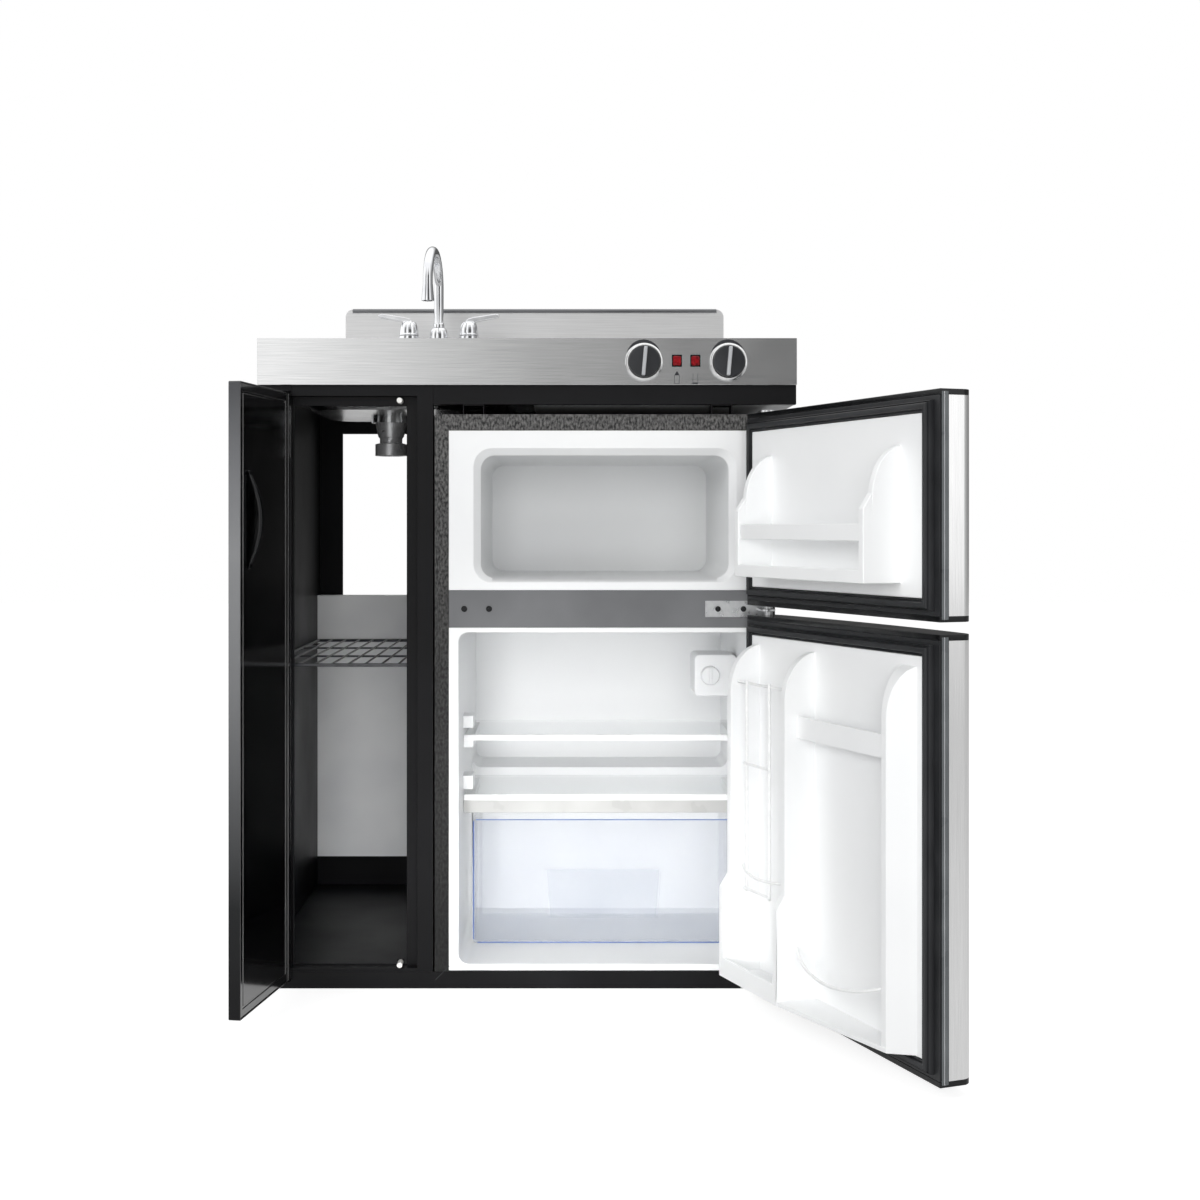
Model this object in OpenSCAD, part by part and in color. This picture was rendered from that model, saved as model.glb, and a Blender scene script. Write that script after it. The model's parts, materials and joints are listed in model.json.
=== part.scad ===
// Compact all-in-one kitchen unit: a steel storage cupboard under a sink, a two-door
// fridge-freezer under a two-coil hob, and one stainless worktop across both.
// Millimetres. X runs to the right, Y away from the user, Z up; the origin is on the
// floor at the middle of the worktop's outline. The doors are drawn shut in their
// modules and then swung open to the stored position.

/* [Unit] */
// Width over the worktop
unit_w = 762; // [745:1:790]
// Depth from the face of the apron to the back edge
unit_d = 610; // [600:1:650]
// Height of the worktop's rim above the floor
worktop_h = 920; // [914:1:950]
// Height of the base under both cabinets
base_h = 24; // [20:1:30]
// Thickness of the folded steel sheet
sheet = 1.5; // [1.2:0.1:2]
// How far the apron stands in front of the cabinets
apron_proud = 8; // [4:1:14]
// Working gap left between faces that only pass each other
clearance = 0.3; // [0.2:0.05:0.5]

/* [Worktop] */
// Height of the apron
apron_h = 66; // [60:1:72]
// Width of the raised rim round the worktop
rim_w = 11; // [8:1:16]
// Height of the raised rim
rim_h = 3; // [2:0.5:5]
// Width of the lip folded in along the worktop's lower edges
lip_w = 14; // [10:1:18]
// Width of the backsplash
splash_w = 665; // [600:5:720]
// Height of the backsplash above the rim
splash_h = 117; // [80:1:140]
// Depth of the backsplash's folded edges
splash_t = 18; // [12:1:26]
// Radius of the backsplash's top corners
splash_r = 14; // [8:1:24]
// Diameter of the rolled edge along the backsplash's top
splash_bead = 7; // [5:0.5:9]

/* [Sink] */
// Width of the bowl
sink_w = 330; // [300:5:345]
// Length of the bowl from front to back
sink_l = 330; // [280:5:340]
// Depth of the bowl
sink_depth = 90; // [70:1:94]
// Corner radius of the bowl
sink_r = 45; // [30:1:70]
// How much the bowl draws in towards its floor on each side
sink_draft = 14; // [6:1:20]
// Width of the flange that holds the bowl under the worktop
sink_flange = 12; // [8:1:14]
// Distance from the unit's middle to the bowl's middle
sink_offset = 180; // [176:1:190]
// Distance from the apron to the bowl
sink_setback = 72; // [60:1:90]
// Sideways distance from the bowl's middle to the drain
drain_offset = 38; // [0:1:50]

/* [Drain] */
// Radius of the strainer's threaded body
strainer_r = 24.5; // [22:0.5:28]
// Radius of the strainer's flange in the bowl
strainer_flange_r = 40; // [38:0.5:46]
// Length of the strainer's body under the bowl
strainer_l = 31; // [26:1:40]
// Radius of the drain tube that the slip nut takes
tail_r = 19; // [16:0.5:19]
// Height of the slip nut
slip_nut_h = 18; // [16:1:24]
// Height of the lift-out basket
basket_h = 26; // [20:1:30]

/* [Faucet] */
// Distance from the unit's middle to the faucet
faucet_offset = 161; // [150:1:175]
// Distance from the bowl to the faucet
faucet_setback = 93; // [70:1:100]
// Distance between the hot and the cold shank
faucet_centres = 101.6; // [101.6:0.1:104]
// Length of the deck plate
deck_l = 160; // [155:1:170]
// Width of the deck plate
deck_w = 52; // [46:1:58]
// Thickness of the deck plate
deck_t = 9; // [6:1:12]
// Height of the middle hub above the deck plate
hub_h = 66; // [50:1:72]
// Diameter of the spout's tube
spout_d = 16; // [12:0.5:17]
// Distance from the spout's riser to its nozzle
spout_reach = 112; // [100:1:150]
// Height of the spout's highest point above the worktop
spout_top = 204; // [190:1:230]
// Length of the straight drop and nozzle
spout_drop = 33; // [26:1:44]
// Diameter of the nozzle's mouth
nozzle_d = 21; // [17:0.5:24]
// Angle by which the stored spout points to the left of straight forward
spout_turn = 5; // [0:1:20]
// Length of each lever from its axis
lever_l = 52; // [42:1:56]
// Height of the levers' tips above the worktop
lever_rise = 99; // [92:1:104]
// Length of the shanks under the deck plate
shank_l = 52; // [45:1:58]
// Radius of the shanks
shank_r = 10.4; // [9:0.1:11]

/* [Hob] */
// Distance from the unit's middle to both elements
hob_offset = 190; // [170:1:215]
// Radius of the small element's outer turn
small_coil_r = 73; // [70:1:76]
// Radius of the large element's outer turn
large_coil_r = 95; // [88:1:97]
// Diameter of the heating tube
coil_d = 7; // [6:0.5:8]
// Distance from one turn to the next
coil_pitch = 12.5; // [11:0.25:14]
// Turns of the small element
small_turns = 4; // [3:1:4]
// Turns of the large element
large_turns = 5; // [4:1:6]
// How far a drip bowl's rim stands beyond its coil
bowl_margin = 24; // [20:1:26]
// Depth of the drip bowls
bowl_depth = 26; // [20:1:34]
// Thickness of the drip bowls
bowl_t = 1.2; // [1:0.1:2]
// Distance from the small element to the apron
small_setback = 138; // [132:1:150]
// Distance between the two elements
hob_centres = 235; // [230:1:245]

/* [Controls] */
// Distance from the unit's middle to the left knob
left_knob_offset = 165; // [150:1:175]
// Distance from the unit's middle to the right knob
right_knob_offset = 284; // [270:1:300]
// Height of the knobs above the apron's lower edge
knob_rise = 32; // [30:1:36]
// Diameter of a knob's skirt
knob_d = 54; // [48:1:58]
// Diameter of a knob's face
knob_face_d = 45; // [40:1:46]
// Depth of a knob
knob_t = 24; // [18:1:30]
// Radius of the switch shaft
shaft_r = 3; // [2.5:0.1:4]
// Angle of both stored grips from upright, clockwise
grip_turn = 5; // [0:5:45]
// Distance between the indicator lamps
lamp_centres = 26; // [22:1:34]
// Width of a lamp's lens
lamp_d = 11.5; // [9:0.5:14]

/* [Storage cupboard] */
// Width of the storage cupboard
cab_w = 248; // [240:1:256]
// Depth of the face frame
frame_d = 18; // [14:1:24]
// Width of the face frame's left stile
left_stile = 47; // [40:1:52]
// Width of the face frame's right stile
right_stile = 23; // [20:1:28]
// Height of the face frame's head
head_h = 15; // [13:1:22]
// Height of the face frame's sill
sill_h = 5; // [4:1:16]
// Width of the set-back flange inside the opening
stop_w = 16; // [12:1:20]
// Thickness of the cupboard door
door_t = 16; // [14:1:20]
// How far the cupboard door laps over the left edge of the opening
door_lap_l = 15; // [10:1:20]
// How far the cupboard door laps over the right edge of the opening
door_lap_r = 19; // [10:1:20]
// Height of the cupboard door's lower edge above the floor
door_z0 = 16; // [8:1:20]
// Gap between the cupboard door and the face frame
door_gap = 3; // [2.5:0.1:5]
// Angle at which the cupboard door stands open
door_open = 99; // [60:1:108]
// Radius of the cupboard's hinge pins
cab_pin_r = 3; // [2.5:0.1:4]
// Length of the bow handle
handle_l = 128; // [110:1:150]
// How far the bow handle stands off the door
handle_out = 20; // [16:1:24]
// Thickness of the handle's bar
handle_t = 6; // [5:0.5:8]
// Distance from the worktop's underside down to the handle's middle
handle_drop = 191; // [150:1:250]
// Height of the wire shelf
shelf_z = 456; // [300:1:520]
// Diameter of the wire shelf's frame
shelf_wire = 5; // [4:0.5:6]
// Diameter of the wire shelf's thin wires
shelf_thin = 3; // [2.5:0.25:3.5]
// Number of wires across the wire shelf
shelf_wires = 9; // [5:1:12]
// Width of the cupboard's rear flanges
rear_flange = 42; // [24:1:50]
// Lower edge of the back panel
back_z0 = 92; // [60:1:120]
// Upper edge of the back panel
back_z1 = 534; // [500:1:600]
// Height of the rear rail
rear_rail_h = 36; // [20:1:40]
// Height of the black rail over the fridge
rail_h = 27; // [22:1:30]
// Gap between that rail and the fridge
rail_gap = 14; // [12:1:18]

/* [Fridge case] */
// Width of the fridge
fridge_w = 482; // [476:1:486]
// Depth of the fridge's case
case_d = 540; // [520:1:560]
// Gap between the cupboard and the fridge
case_gap = 2; // [1:0.5:4]
// Width of the textured steel flange at the sides
flange_w = 20; // [18:1:22]
// Width of the textured steel flange at the top
flange_top = 23; // [18:1:26]
// Thickness of the white liners
liner_t = 3; // [2:0.5:4]
// Depth of the compressor bay, from the back of the case
bay_d = 148; // [140:1:160]
// Height of the compressor bay
bay_h = 200; // [180:1:210]
// Thickness of foam between a liner and the compressor bay
bay_foam = 40; // [30:1:46]
// Width of the fridge's cavity
fridge_cav_w = 414; // [410:1:418]
// Thickness of foam behind the fridge's cavity
rear_foam = 70; // [50:1:100]
// Height of the fridge's floor above the base
fridge_floor = 11; // [9:1:14]
// Corner radius of the fridge's cavity
fridge_cav_r = 14; // [8:1:20]
// Height of the mullion between the cavities
mullion_h = 53; // [50:1:56]
// Width of the freezer's cavity
freezer_cav_w = 352; // [348:1:358]
// Height of the freezer's cavity
freezer_cav_h = 174; // [170:1:176]
// Thickness of foam behind the freezer's cavity
freezer_rear_foam = 150; // [100:1:190]
// Thickness of foam over the freezer's cavity
top_foam = 58; // [54:1:62]
// Corner radius of the freezer's cavity
freezer_cav_r = 20; // [12:1:26]
// Height of the white border between the mullion and the freezer's cavity
freezer_border = 17; // [15:1:20]
// Width of the bevel round the freezer's mouth
mouth_bevel = 10; // [6:1:12]

/* [Fridge fittings] */
// Height of the upper shelf, as a share of the cavity's
upper_share = 0.661; // [0.64:0.001:0.69]
// Height of the crisper's cover, as a share of the cavity's
cover_share = 0.473; // [0.46:0.001:0.49]
// Distance from the case's face to the shelves
shelf_setback = 106; // [104:1:130]
// Thickness of the glass shelves
glass_t = 4; // [3:0.5:5]
// Height of the front trim on the glass shelves
trim_h = 8; // [7:0.5:11]
// Height of the fascia under the crisper's cover
fascia_h = 26; // [18:1:30]
// Gap between the crisper drawer and the fascia over it
drawer_drop = 12; // [6:1:20]
// Gap behind the crisper drawer
drawer_back = 42; // [34:1:60]
// Gap between the crisper drawer and each side wall
drawer_side = 14; // [12:1:18]
// Thickness of the drawer's walls
drawer_t = 2.6; // [2:0.2:4]
// Diameter of the thermostat's dial
dial_d = 30; // [24:1:36]

/* [Fridge doors] */
// Angle at which both fridge doors stand open
fridge_open = 111; // [60:1:120]
// Thickness of the fridge doors without the gasket
leaf_t = 56; // [50:1:60]
// How much the doors' faces bulge
leaf_bow = 11; // [6:1:14]
// Radius of the doors' front edges
leaf_r = 13; // [8:1:16]
// Thickness of the doors' stainless skins
skin_t = 1.2; // [0.8:0.1:2]
// Thickness of the doors' plastic frames
frame_t = 12; // [11:1:16]
// Thickness of the gaskets
gasket_t = 10; // [8:0.5:12]
// Width of the gaskets
gasket_w = 14; // [12:1:18]
// Distance from a gasket to the door's edge
gasket_inset = 12; // [12:1:14]
// Thickness of the doors' end caps
cap_t = 7; // [5:1:9]
// Gap between the two fridge doors
leaf_gap = 14; // [12:1:18]
// Gap between a door and its hinge plate
pivot_gap = 2; // [1.5:0.5:4]
// Height of the fridge door's lower edge above the floor
leaf_z0 = 15; // [14:1:18]
// Radius of the fridge's hinge pins
pin_r = 4; // [3:0.5:5]
// Distance from the hinge pins to the doors' hinge edge
pin_inset = 15; // [13:1:16]
// Distance from the hinge pins to the doors' back
pin_depth = 24; // [20:1:26]
// Thickness of the hinge plates
hinge_t = 3; // [2.5:0.5:4]
// Depth of the freezer door's shelf
freezer_rack_d = 57; // [46:1:60]
// Depth of the fridge door's lower bins
fridge_rack_d = 62; // [54:1:68]
// Depth of the wall at the fridge door's free edge
edge_wall_d = 35; // [30:1:42]
// How far that wall's outer face slopes inwards
edge_wall_slope = 24; // [20:1:40]
// Height of the rounding on top of the doors' walls
rack_curve = 64; // [40:1:70]
// Step from the lower to the upper part of the door walls
rack_step = 12; // [8:1:16]
// Thickness of the walls on the doors
rack_wall = 11; // [8:1:13]
// Width of the can column in the fridge door
can_w = 142; // [124:1:150]
// Height of the freezer door's retaining bar
bar_h = 20; // [14:1:26]
// Diameter of the wires in the fridge door
guard_wire = 4; // [3:0.5:5]

/* [Hidden] */
$fn = 64;

// Main planes
front_y = -unit_d / 2;
rear_y = unit_d / 2;
face_y = front_y + apron_proud;
unit_x0 = -unit_w / 2;
unit_x1 = unit_w / 2;
under_z = worktop_h - apron_h;
field_z = worktop_h - rim_h;
deck_under = field_z - sheet;

// Storage cupboard
cab_x0 = unit_x0;
cab_x1 = cab_x0 + cab_w;
inside_x0 = cab_x0 + sheet;
inside_x1 = cab_x1 - sheet;
open_x0 = cab_x0 + left_stile;
open_x1 = cab_x1 - right_stile;
open_z0 = base_h + sill_h;
open_z1 = under_z - head_h;
frame_back = face_y + frame_d;
foot_flange = 16;
floor_z0 = base_h + sheet;
back_y = rear_y - 34;
door_x0 = open_x0 - door_lap_l;
door_x1 = open_x1 + door_lap_r;
door_z1 = under_z - 12;
door_back = face_y - door_gap;
door_front = door_back - door_t;
cab_pin_x = door_x0 + door_t / 2;
cab_pin_y = door_back - door_t / 2;

// Fridge case and its cavities
case_x0 = cab_x1 + case_gap;
case_x1 = case_x0 + fridge_w;
case_cx = (case_x0 + case_x1) / 2;
case_y1 = face_y + case_d;
case_z1 = under_z - rail_h - rail_gap;
bay_y = case_y1 - bay_d;
bay_z = base_h + bay_h;
mouth_x0 = case_x0 + flange_w;
mouth_x1 = case_x1 - flange_w;
mouth_z0 = base_h + sheet;
mouth_z1 = case_z1 - flange_top;
fridge_x0 = case_cx - fridge_cav_w / 2;
fridge_x1 = case_cx + fridge_cav_w / 2;
fridge_z0 = base_h + fridge_floor;
freezer_z1 = case_z1 - top_foam;
freezer_z0 = freezer_z1 - freezer_cav_h;
mullion_z1 = freezer_z0 - freezer_border;
mullion_z0 = mullion_z1 - mullion_h;
fridge_z1 = mullion_z0 - 7;
fridge_cav_h = fridge_z1 - fridge_z0;
mullion_mid = (mullion_z0 + mullion_z1) / 2;
mullion_d = 20;
freezer_x0 = case_cx - freezer_cav_w / 2;
freezer_x1 = case_cx + freezer_cav_w / 2;
low_cav_y1 = bay_y - bay_foam;
low_cav_z1 = bay_z + bay_foam;
fridge_y1 = case_y1 - rear_foam;
freezer_y1 = case_y1 - freezer_rear_foam;

// Fridge doors, drawn shut
leaf_x0 = case_x0 + 4;
leaf_x1 = case_x1;
leaf_back = face_y - 1 - gasket_t;
leaf_front = leaf_back - leaf_t;
leaf_mid = leaf_back - frame_t;
pin_x = leaf_x1 - pin_inset;
pin_y = leaf_back - pin_depth;
freezer_leaf_z0 = mullion_mid + leaf_gap / 2;
freezer_leaf_z1 = case_z1 - pivot_gap;
fridge_leaf_z0 = leaf_z0;
fridge_leaf_z1 = mullion_mid - leaf_gap / 2;
pin_l = 22;
frame_w = 36;

// Sink, drain and faucet
sink_x = -sink_offset;
sink_y0 = front_y + sink_setback;
sink_y = sink_y0 + sink_l / 2;
sink_floor = field_z - sink_depth;
drain_x = sink_x - drain_offset;
drain_y = sink_y + 20;
sink_under = sink_floor - sheet;
faucet_x = -faucet_offset;
faucet_y = sink_y0 + sink_l + faucet_setback;
handle_x = faucet_centres / 2;
riser_d = spout_d;
running = 0.05;

// Hob and controls
hob_x = hob_offset;
small_y = front_y + small_setback;
large_y = small_y + hob_centres;
small_bowl_r = small_coil_r + bowl_margin;
large_bowl_r = large_coil_r + bowl_margin;
ledge_drop = 4;
support_z = field_z - ledge_drop;
support_h = 7;
coil_z = support_z + support_h + coil_d / 2 + clearance;
knob_z = under_z + knob_rise;
lamp_x = (left_knob_offset + right_knob_offset) / 2;
box_z0 = case_z1 + rail_gap;
box_x0 = sink_x + sink_w / 2 + sink_flange + 12;
box_x1 = unit_x1 - sheet;
box_y1 = rear_y - 24;
gland_r = 8;
gland_x = box_x1 - 60;
gland_z = box_z0 + 14;

// Crisper drawer
drawer_x0 = fridge_x0 + drawer_side;
drawer_x1 = fridge_x1 - drawer_side;
drawer_y0 = face_y + shelf_setback + 14;
drawer_z0 = fridge_z0 + clearance;

function arc(cx, cy, r, a0, a1, n = 12) =
    [for (i = [0:n]) let(a = a0 + (a1 - a0) * i / n) [cx + r * cos(a), cy + r * sin(a)]];

module block(x0, x1, y0, y1, z0, z1) {
    translate([x0, y0, z0]) cube([x1 - x0, y1 - y0, z1 - z0]);
}

// A rectangle with true round corners, centred
module rounded(w, h, r) {
    square([w - 2 * r, h], center = true);
    square([w, h - 2 * r], center = true);
    for (sx = [-1, 1], sy = [-1, 1])
        translate([sx * (w / 2 - r), sy * (h / 2 - r)]) circle(r);
}

// A plate with round corners that stands across Y
module upright_plate(x0, x1, z0, z1, y0, y1, r) {
    translate([(x0 + x1) / 2, y1, (z0 + z1) / 2]) rotate([90, 0, 0])
        linear_extrude(y1 - y0) rounded(x1 - x0, z1 - z0, r);
}

// A plate with round corners that lies flat
module flat_plate(cx, cy, w, l, z0, z1, r) {
    translate([cx, cy, z0]) linear_extrude(z1 - z0) rounded(w, l, r);
}

// A profile drawn in Y and Z, extruded along X
module along_x(points, x0, x1) {
    translate([x0, 0, 0]) rotate([90, 0, 90]) linear_extrude(x1 - x0) polygon(points);
}

// A straight round bar from a to b
module rod(a, b, d) {
    v = b - a;
    len = norm(v);
    translate(a) rotate([0, acos(v[2] / len), atan2(v[1], v[0])]) cylinder(h = len, d = d);
}

module bore_y(x, z, r, y0, y1) {
    translate([x, y1, z]) rotate([90, 0, 0]) cylinder(h = y1 - y0, r = r);
}

// A rectangular ring that stands across Y
module ring_y(x0, x1, z0, z1, y0, y1, wx, wz) {
    difference() {
        block(x0, x1, y0, y1, z0, z1);
        block(x0 + wx, x1 - wx, y0 - 1, y1 + 1, z0 + wz, z1 - wz);
    }
}

// Swings what is drawn shut about the cupboard's pins
module at_cupboard_door() {
    translate([cab_pin_x, cab_pin_y, 0]) rotate([0, 0, -door_open])
        translate([-cab_pin_x, -cab_pin_y, 0]) children();
}

// Swings what is drawn shut about the fridge's pins
module at_fridge_door() {
    translate([pin_x, pin_y, 0]) rotate([0, 0, fridge_open])
        translate([-pin_x, -pin_y, 0]) children();
}

/* ---- Cabinet steelwork ---- */

module base_pan() {
    color("#1c1c1e") {
        difference() {
            block(cab_x0, case_x1, face_y, rear_y, 0, base_h);
            block(cab_x0 + sheet, case_x1 - sheet, face_y + sheet, rear_y - sheet,
                  sheet, base_h + 1);
        }
        block(cab_x1 - sheet / 2, case_x0 + sheet, face_y + sheet, rear_y - sheet,
              sheet, base_h);
    }
}

// One side of the cupboard; side is 1 for the left panel and -1 for the right one
module side_panel(x, side, top, top_flange) {
    a = side > 0 ? x : x - sheet;
    module inward(w, y0, y1, z0, z1) {
        block(side > 0 ? x : x - w, side > 0 ? x + w : x, y0, y1, z0, z1);
    }
    block(a, a + sheet, frame_back, rear_y, base_h, top);
    inward(foot_flange, frame_back, rear_y, base_h, base_h + sheet);
    inward(rear_flange, rear_y - sheet, rear_y, base_h, top);
    if (top_flange) inward(foot_flange, frame_back, rear_y, top - sheet, top);
    // Lanced tabs that carry the wire shelf
    for (y = [frame_back + 60, rear_y - 100])
        inward(12, y, y + 24, shelf_z - shelf_wire / 2 - sheet - clearance,
               shelf_z - shelf_wire / 2 - clearance);
}

module left_side_panel() {
    color("#2d2d30") side_panel(cab_x0, 1, under_z, true);
}

module divider_panel() {
    color("#2d2d30") side_panel(cab_x1, -1, case_z1, false);
}

module face_frame() {
    color("#3a3a3d") {
        ring_y(cab_x0, cab_x1, base_h, under_z, face_y, frame_back, sheet, sheet);
        difference() {
            block(cab_x0, cab_x1, face_y, face_y + sheet, base_h, under_z);
            block(open_x0, open_x1, face_y - 1, face_y + sheet + 1, open_z0, open_z1);
        }
        // The reveal and the set-back flange behind it
        ring_y(open_x0 - sheet, open_x1 + sheet, open_z0 - sheet, open_z1 + sheet,
               face_y, frame_back, sheet, sheet);
        difference() {
            block(open_x0 - sheet, open_x1 + sheet, frame_back - sheet, frame_back,
                  open_z0 - sheet, open_z1 + sheet);
            block(open_x0 + stop_foot, open_x1 - stop_w, frame_back - sheet - 1,
                  frame_back + 1, open_z0 + stop_foot, open_z1 - stop_head);
        }
        // The ear that carries the lower bumper
        block(bumper_x - bumper_r - 1, bumper_x + bumper_r + 1, frame_back - sheet, frame_back,
              open_z0, open_z0 + 2 * bumper_r + 1);
        // Brackets above and below the door, with the pins that it turns on
        for (up = [0, 1]) let(z = up ? door_z1 + pivot_gap : door_z0 - pivot_gap - pivot_t) {
            pin(cab_pin_x, cab_pin_y, z, z + pivot_t, pivot_w / 2);
            block(cab_pin_x - pivot_w / 2, cab_pin_x + pivot_w / 2, cab_pin_y, face_y,
                  z, z + pivot_t);
            block(cab_pin_x - pivot_w / 2, cab_pin_x + pivot_w / 2, face_y - pivot_t, face_y,
                  up ? under_z - 14 : z, up ? under_z : base_h + 14);
            pin(cab_pin_x, cab_pin_y, up ? door_z1 - 18 : z + 1, up ? z + 1 : door_z0 + 18,
                cab_pin_r);
        }
    }
}

pivot_t = 2;
pivot_w = 14;
bumper_x = open_x1 - stop_w - 8.5;
bumper_r = 4;
stop_head = stop_w * 0.8;
stop_foot = 2;
bumper_places = [open_z0 + bumper_r + 0.5, open_z1 - stop_head / 2];

module door_bumpers() {
    color("#e9e8e2") for (z = bumper_places)
        bore_y(bumper_x, z, bumper_r, face_y - door_gap + clearance, frame_back - sheet);
}

module storage_floor() {
    color("#26262a") {
        difference() {
            block(inside_x0 + clearance, inside_x1 - clearance, frame_back,
                  rear_y - sheet - clearance, floor_z0, open_z0);
            block(inside_x0 + sheet + 1, inside_x1 - sheet - 1, frame_back + sheet,
                  rear_y - 2 * sheet - 1, floor_z0 - 1, open_z0 - sheet);
        }
        block(inside_x0 + clearance, inside_x1 - clearance, back_y, back_y + sheet,
              open_z0 - sheet, back_z0);
    }
}

module storage_back_panel() {
    color("#b9babd") {
        block(inside_x0 + clearance, inside_x1 - clearance, back_y - sheet, back_y,
              back_z0 - 14, back_z1);
        block(inside_x0 + clearance, inside_x1 - clearance, back_y - sheet,
              rear_y - sheet, back_z1 - sheet, back_z1);
    }
}

module rear_rail() {
    color("#3a3a3d") difference() {
        union() {
            block(cab_x0 + rear_flange, case_x1, rear_y - sheet, rear_y,
                  under_z - rear_rail_h, under_z);
            block(inside_x0 + foot_flange, case_x1, rear_y - 20, rear_y - sheet,
                  under_z - sheet, under_z);
            block(case_x0, case_x1, case_y1, rear_y - sheet, case_z1 - sheet, case_z1);
            block(case_x0, case_x1, rear_y - 2 * sheet, rear_y - sheet, case_z1 - sheet,
                  under_z - sheet);
        }
        // Notch for the supply lead, behind the cable gland
        block(gland_x - gland_r - 4, gland_x + gland_r + 4, rear_y - 3 * sheet, rear_y + 1,
              case_z1, gland_z + gland_r + 2);
    }
}

module front_rail() {
    color("#121213") {
        difference() {
            block(cab_x1, unit_x1, face_y, frame_back, box_z0, under_z);
            block(cab_x1 + sheet, unit_x1 - sheet, face_y + sheet, frame_back + 1,
                  box_z0 + sheet, under_z - sheet);
        }
        // Spacer channels that stand on the fridge
        for (x = [case_x0 + 40, case_x1 - 90]) difference() {
            block(x, x + 30, face_y + sheet, frame_back + 22, case_z1, box_z0);
            block(x + sheet, x + 30 - sheet, face_y, frame_back + 23,
                  case_z1 - 1, box_z0 - sheet);
        }
    }
}

module wiring_box() {
    color("#8d8f92") difference() {
        block(box_x0, box_x1, frame_back, box_y1, box_z0, under_z);
        block(box_x0 + sheet, box_x1 - sheet, frame_back + sheet, box_y1 - sheet,
              box_z0 + sheet, under_z + 1);
        // Cable gland for the supply lead
        bore_y(gland_x, gland_z, gland_r, box_y1 - sheet - 1, box_y1 + 1);
    }
}

module wire_shelf() {
    y0 = frame_back + 8;
    y1 = back_y - 12;
    x0 = inside_x0 + shelf_wire / 2 + 1;
    x1 = inside_x1 - shelf_wire / 2 - 1;
    e = shelf_wire / 2;
    color("#55565a") {
        rod([x0, y0, shelf_z], [x0, y1, shelf_z], shelf_wire);
        rod([x1, y0, shelf_z], [x1, y1, shelf_z], shelf_wire);
        rod([x0 - e, y0, shelf_z], [x1 + e, y0, shelf_z], shelf_wire);
        rod([x0 - e, y1, shelf_z], [x1 + e, y1, shelf_z], shelf_wire);
        for (i = [1:shelf_wires]) let(x = x0 + (x1 - x0) * i / (shelf_wires + 1))
            rod([x, y0, shelf_z + 1], [x, y1, shelf_z + 1], shelf_thin);
        for (k = [1, 2]) let(y = y0 + (y1 - y0) * k / 3)
            rod([x0, y, shelf_z - 0.8], [x1, y, shelf_z - 0.8], shelf_thin);
    }
}

/* ---- Worktop, sink and faucet ---- */

module worktop() {
    color("#c9cbcd") difference() {
        union() {
            difference() {
                block(unit_x0, unit_x1, front_y, rear_y, under_z, worktop_h);
                block(unit_x0 + sheet, unit_x1 - sheet, front_y + sheet, rear_y - sheet,
                      under_z - 1, deck_under);
                flat_plate(0, 0, unit_w - 2 * rim_w, unit_d - 2 * rim_w, field_z,
                           worktop_h + 1, rim_w);
            }
            difference() {
                block(unit_x0, unit_x1, front_y, rear_y, under_z, under_z + sheet);
                block(unit_x0 + lip_w, unit_x1 - lip_w, front_y + lip_w + apron_proud,
                      rear_y - lip_w, under_z - 1, under_z + sheet + 1);
            }
        }
        flat_plate(sink_x, sink_y, sink_w, sink_l, deck_under - 1, field_z + 1, sink_r);
        for (p = [[small_y, small_bowl_r], [large_y, large_bowl_r]])
            translate([hob_x, p[0], deck_under - 1])
                cylinder(h = sheet + 2, r = p[1] - 8);
        for (dx = [-handle_x, 0, handle_x])
            translate([faucet_x + dx, faucet_y, deck_under - 1])
                cylinder(h = sheet + 2, r = 17);
        for (x = [left_knob_offset, right_knob_offset])
            bore_y(x, knob_z, shaft_r + 1.5, front_y - 1, front_y + sheet + 1);
        for (s = [-1, 1])
            bore_y(lamp_x + s * lamp_centres / 2, knob_z + 2, lamp_d / 2 - 1.5,
                   front_y - 1, front_y + sheet + 1);
    }
}

module splash_outline(inset) {
    w = splash_w - 2 * inset;
    h = splash_h - inset;
    r = splash_r - inset;
    translate([0, h / 2]) rounded(w, h, r);
    translate([-w / 2, 0]) square([w, h / 2]);
}

module backsplash() {
    color("#bfc1c4") {
        difference() {
            translate([0, rear_y, worktop_h]) rotate([90, 0, 0])
                linear_extrude(splash_t) splash_outline(0);
            translate([0, rear_y + 1, worktop_h]) rotate([90, 0, 0])
                linear_extrude(splash_t + 1 - sheet) splash_outline(sheet);
        }
        block(-(splash_w - sheet) / 2, (splash_w - sheet) / 2, rear_y - rim_w, rear_y,
              worktop_h, worktop_h + sheet);
        // The rolled top edge
        translate([-splash_w / 2 + splash_r, rear_y - splash_t,
                   worktop_h + splash_h - splash_bead / 2])
            rotate([0, 90, 0]) cylinder(h = splash_w - 2 * splash_r, d = splash_bead);
    }
}

module bowl_shape(grow, floor) {
    hull() {
        flat_plate(sink_x, sink_y, sink_w + 2 * grow, sink_l + 2 * grow,
                   deck_under - 0.5, deck_under, sink_r + grow, $fn = 32);
        flat_plate(sink_x, sink_y, sink_w - 2 * sink_draft + 2 * grow,
                   sink_l - 2 * sink_draft + 2 * grow, floor + 12, floor + 12.5,
                   sink_r + grow, $fn = 32);
        flat_plate(sink_x, sink_y, sink_w - 2 * sink_draft - 20 + 2 * grow,
                   sink_l - 2 * sink_draft - 20 + 2 * grow, floor, floor + 0.5,
                   sink_r + grow, $fn = 32);
    }
}

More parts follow.
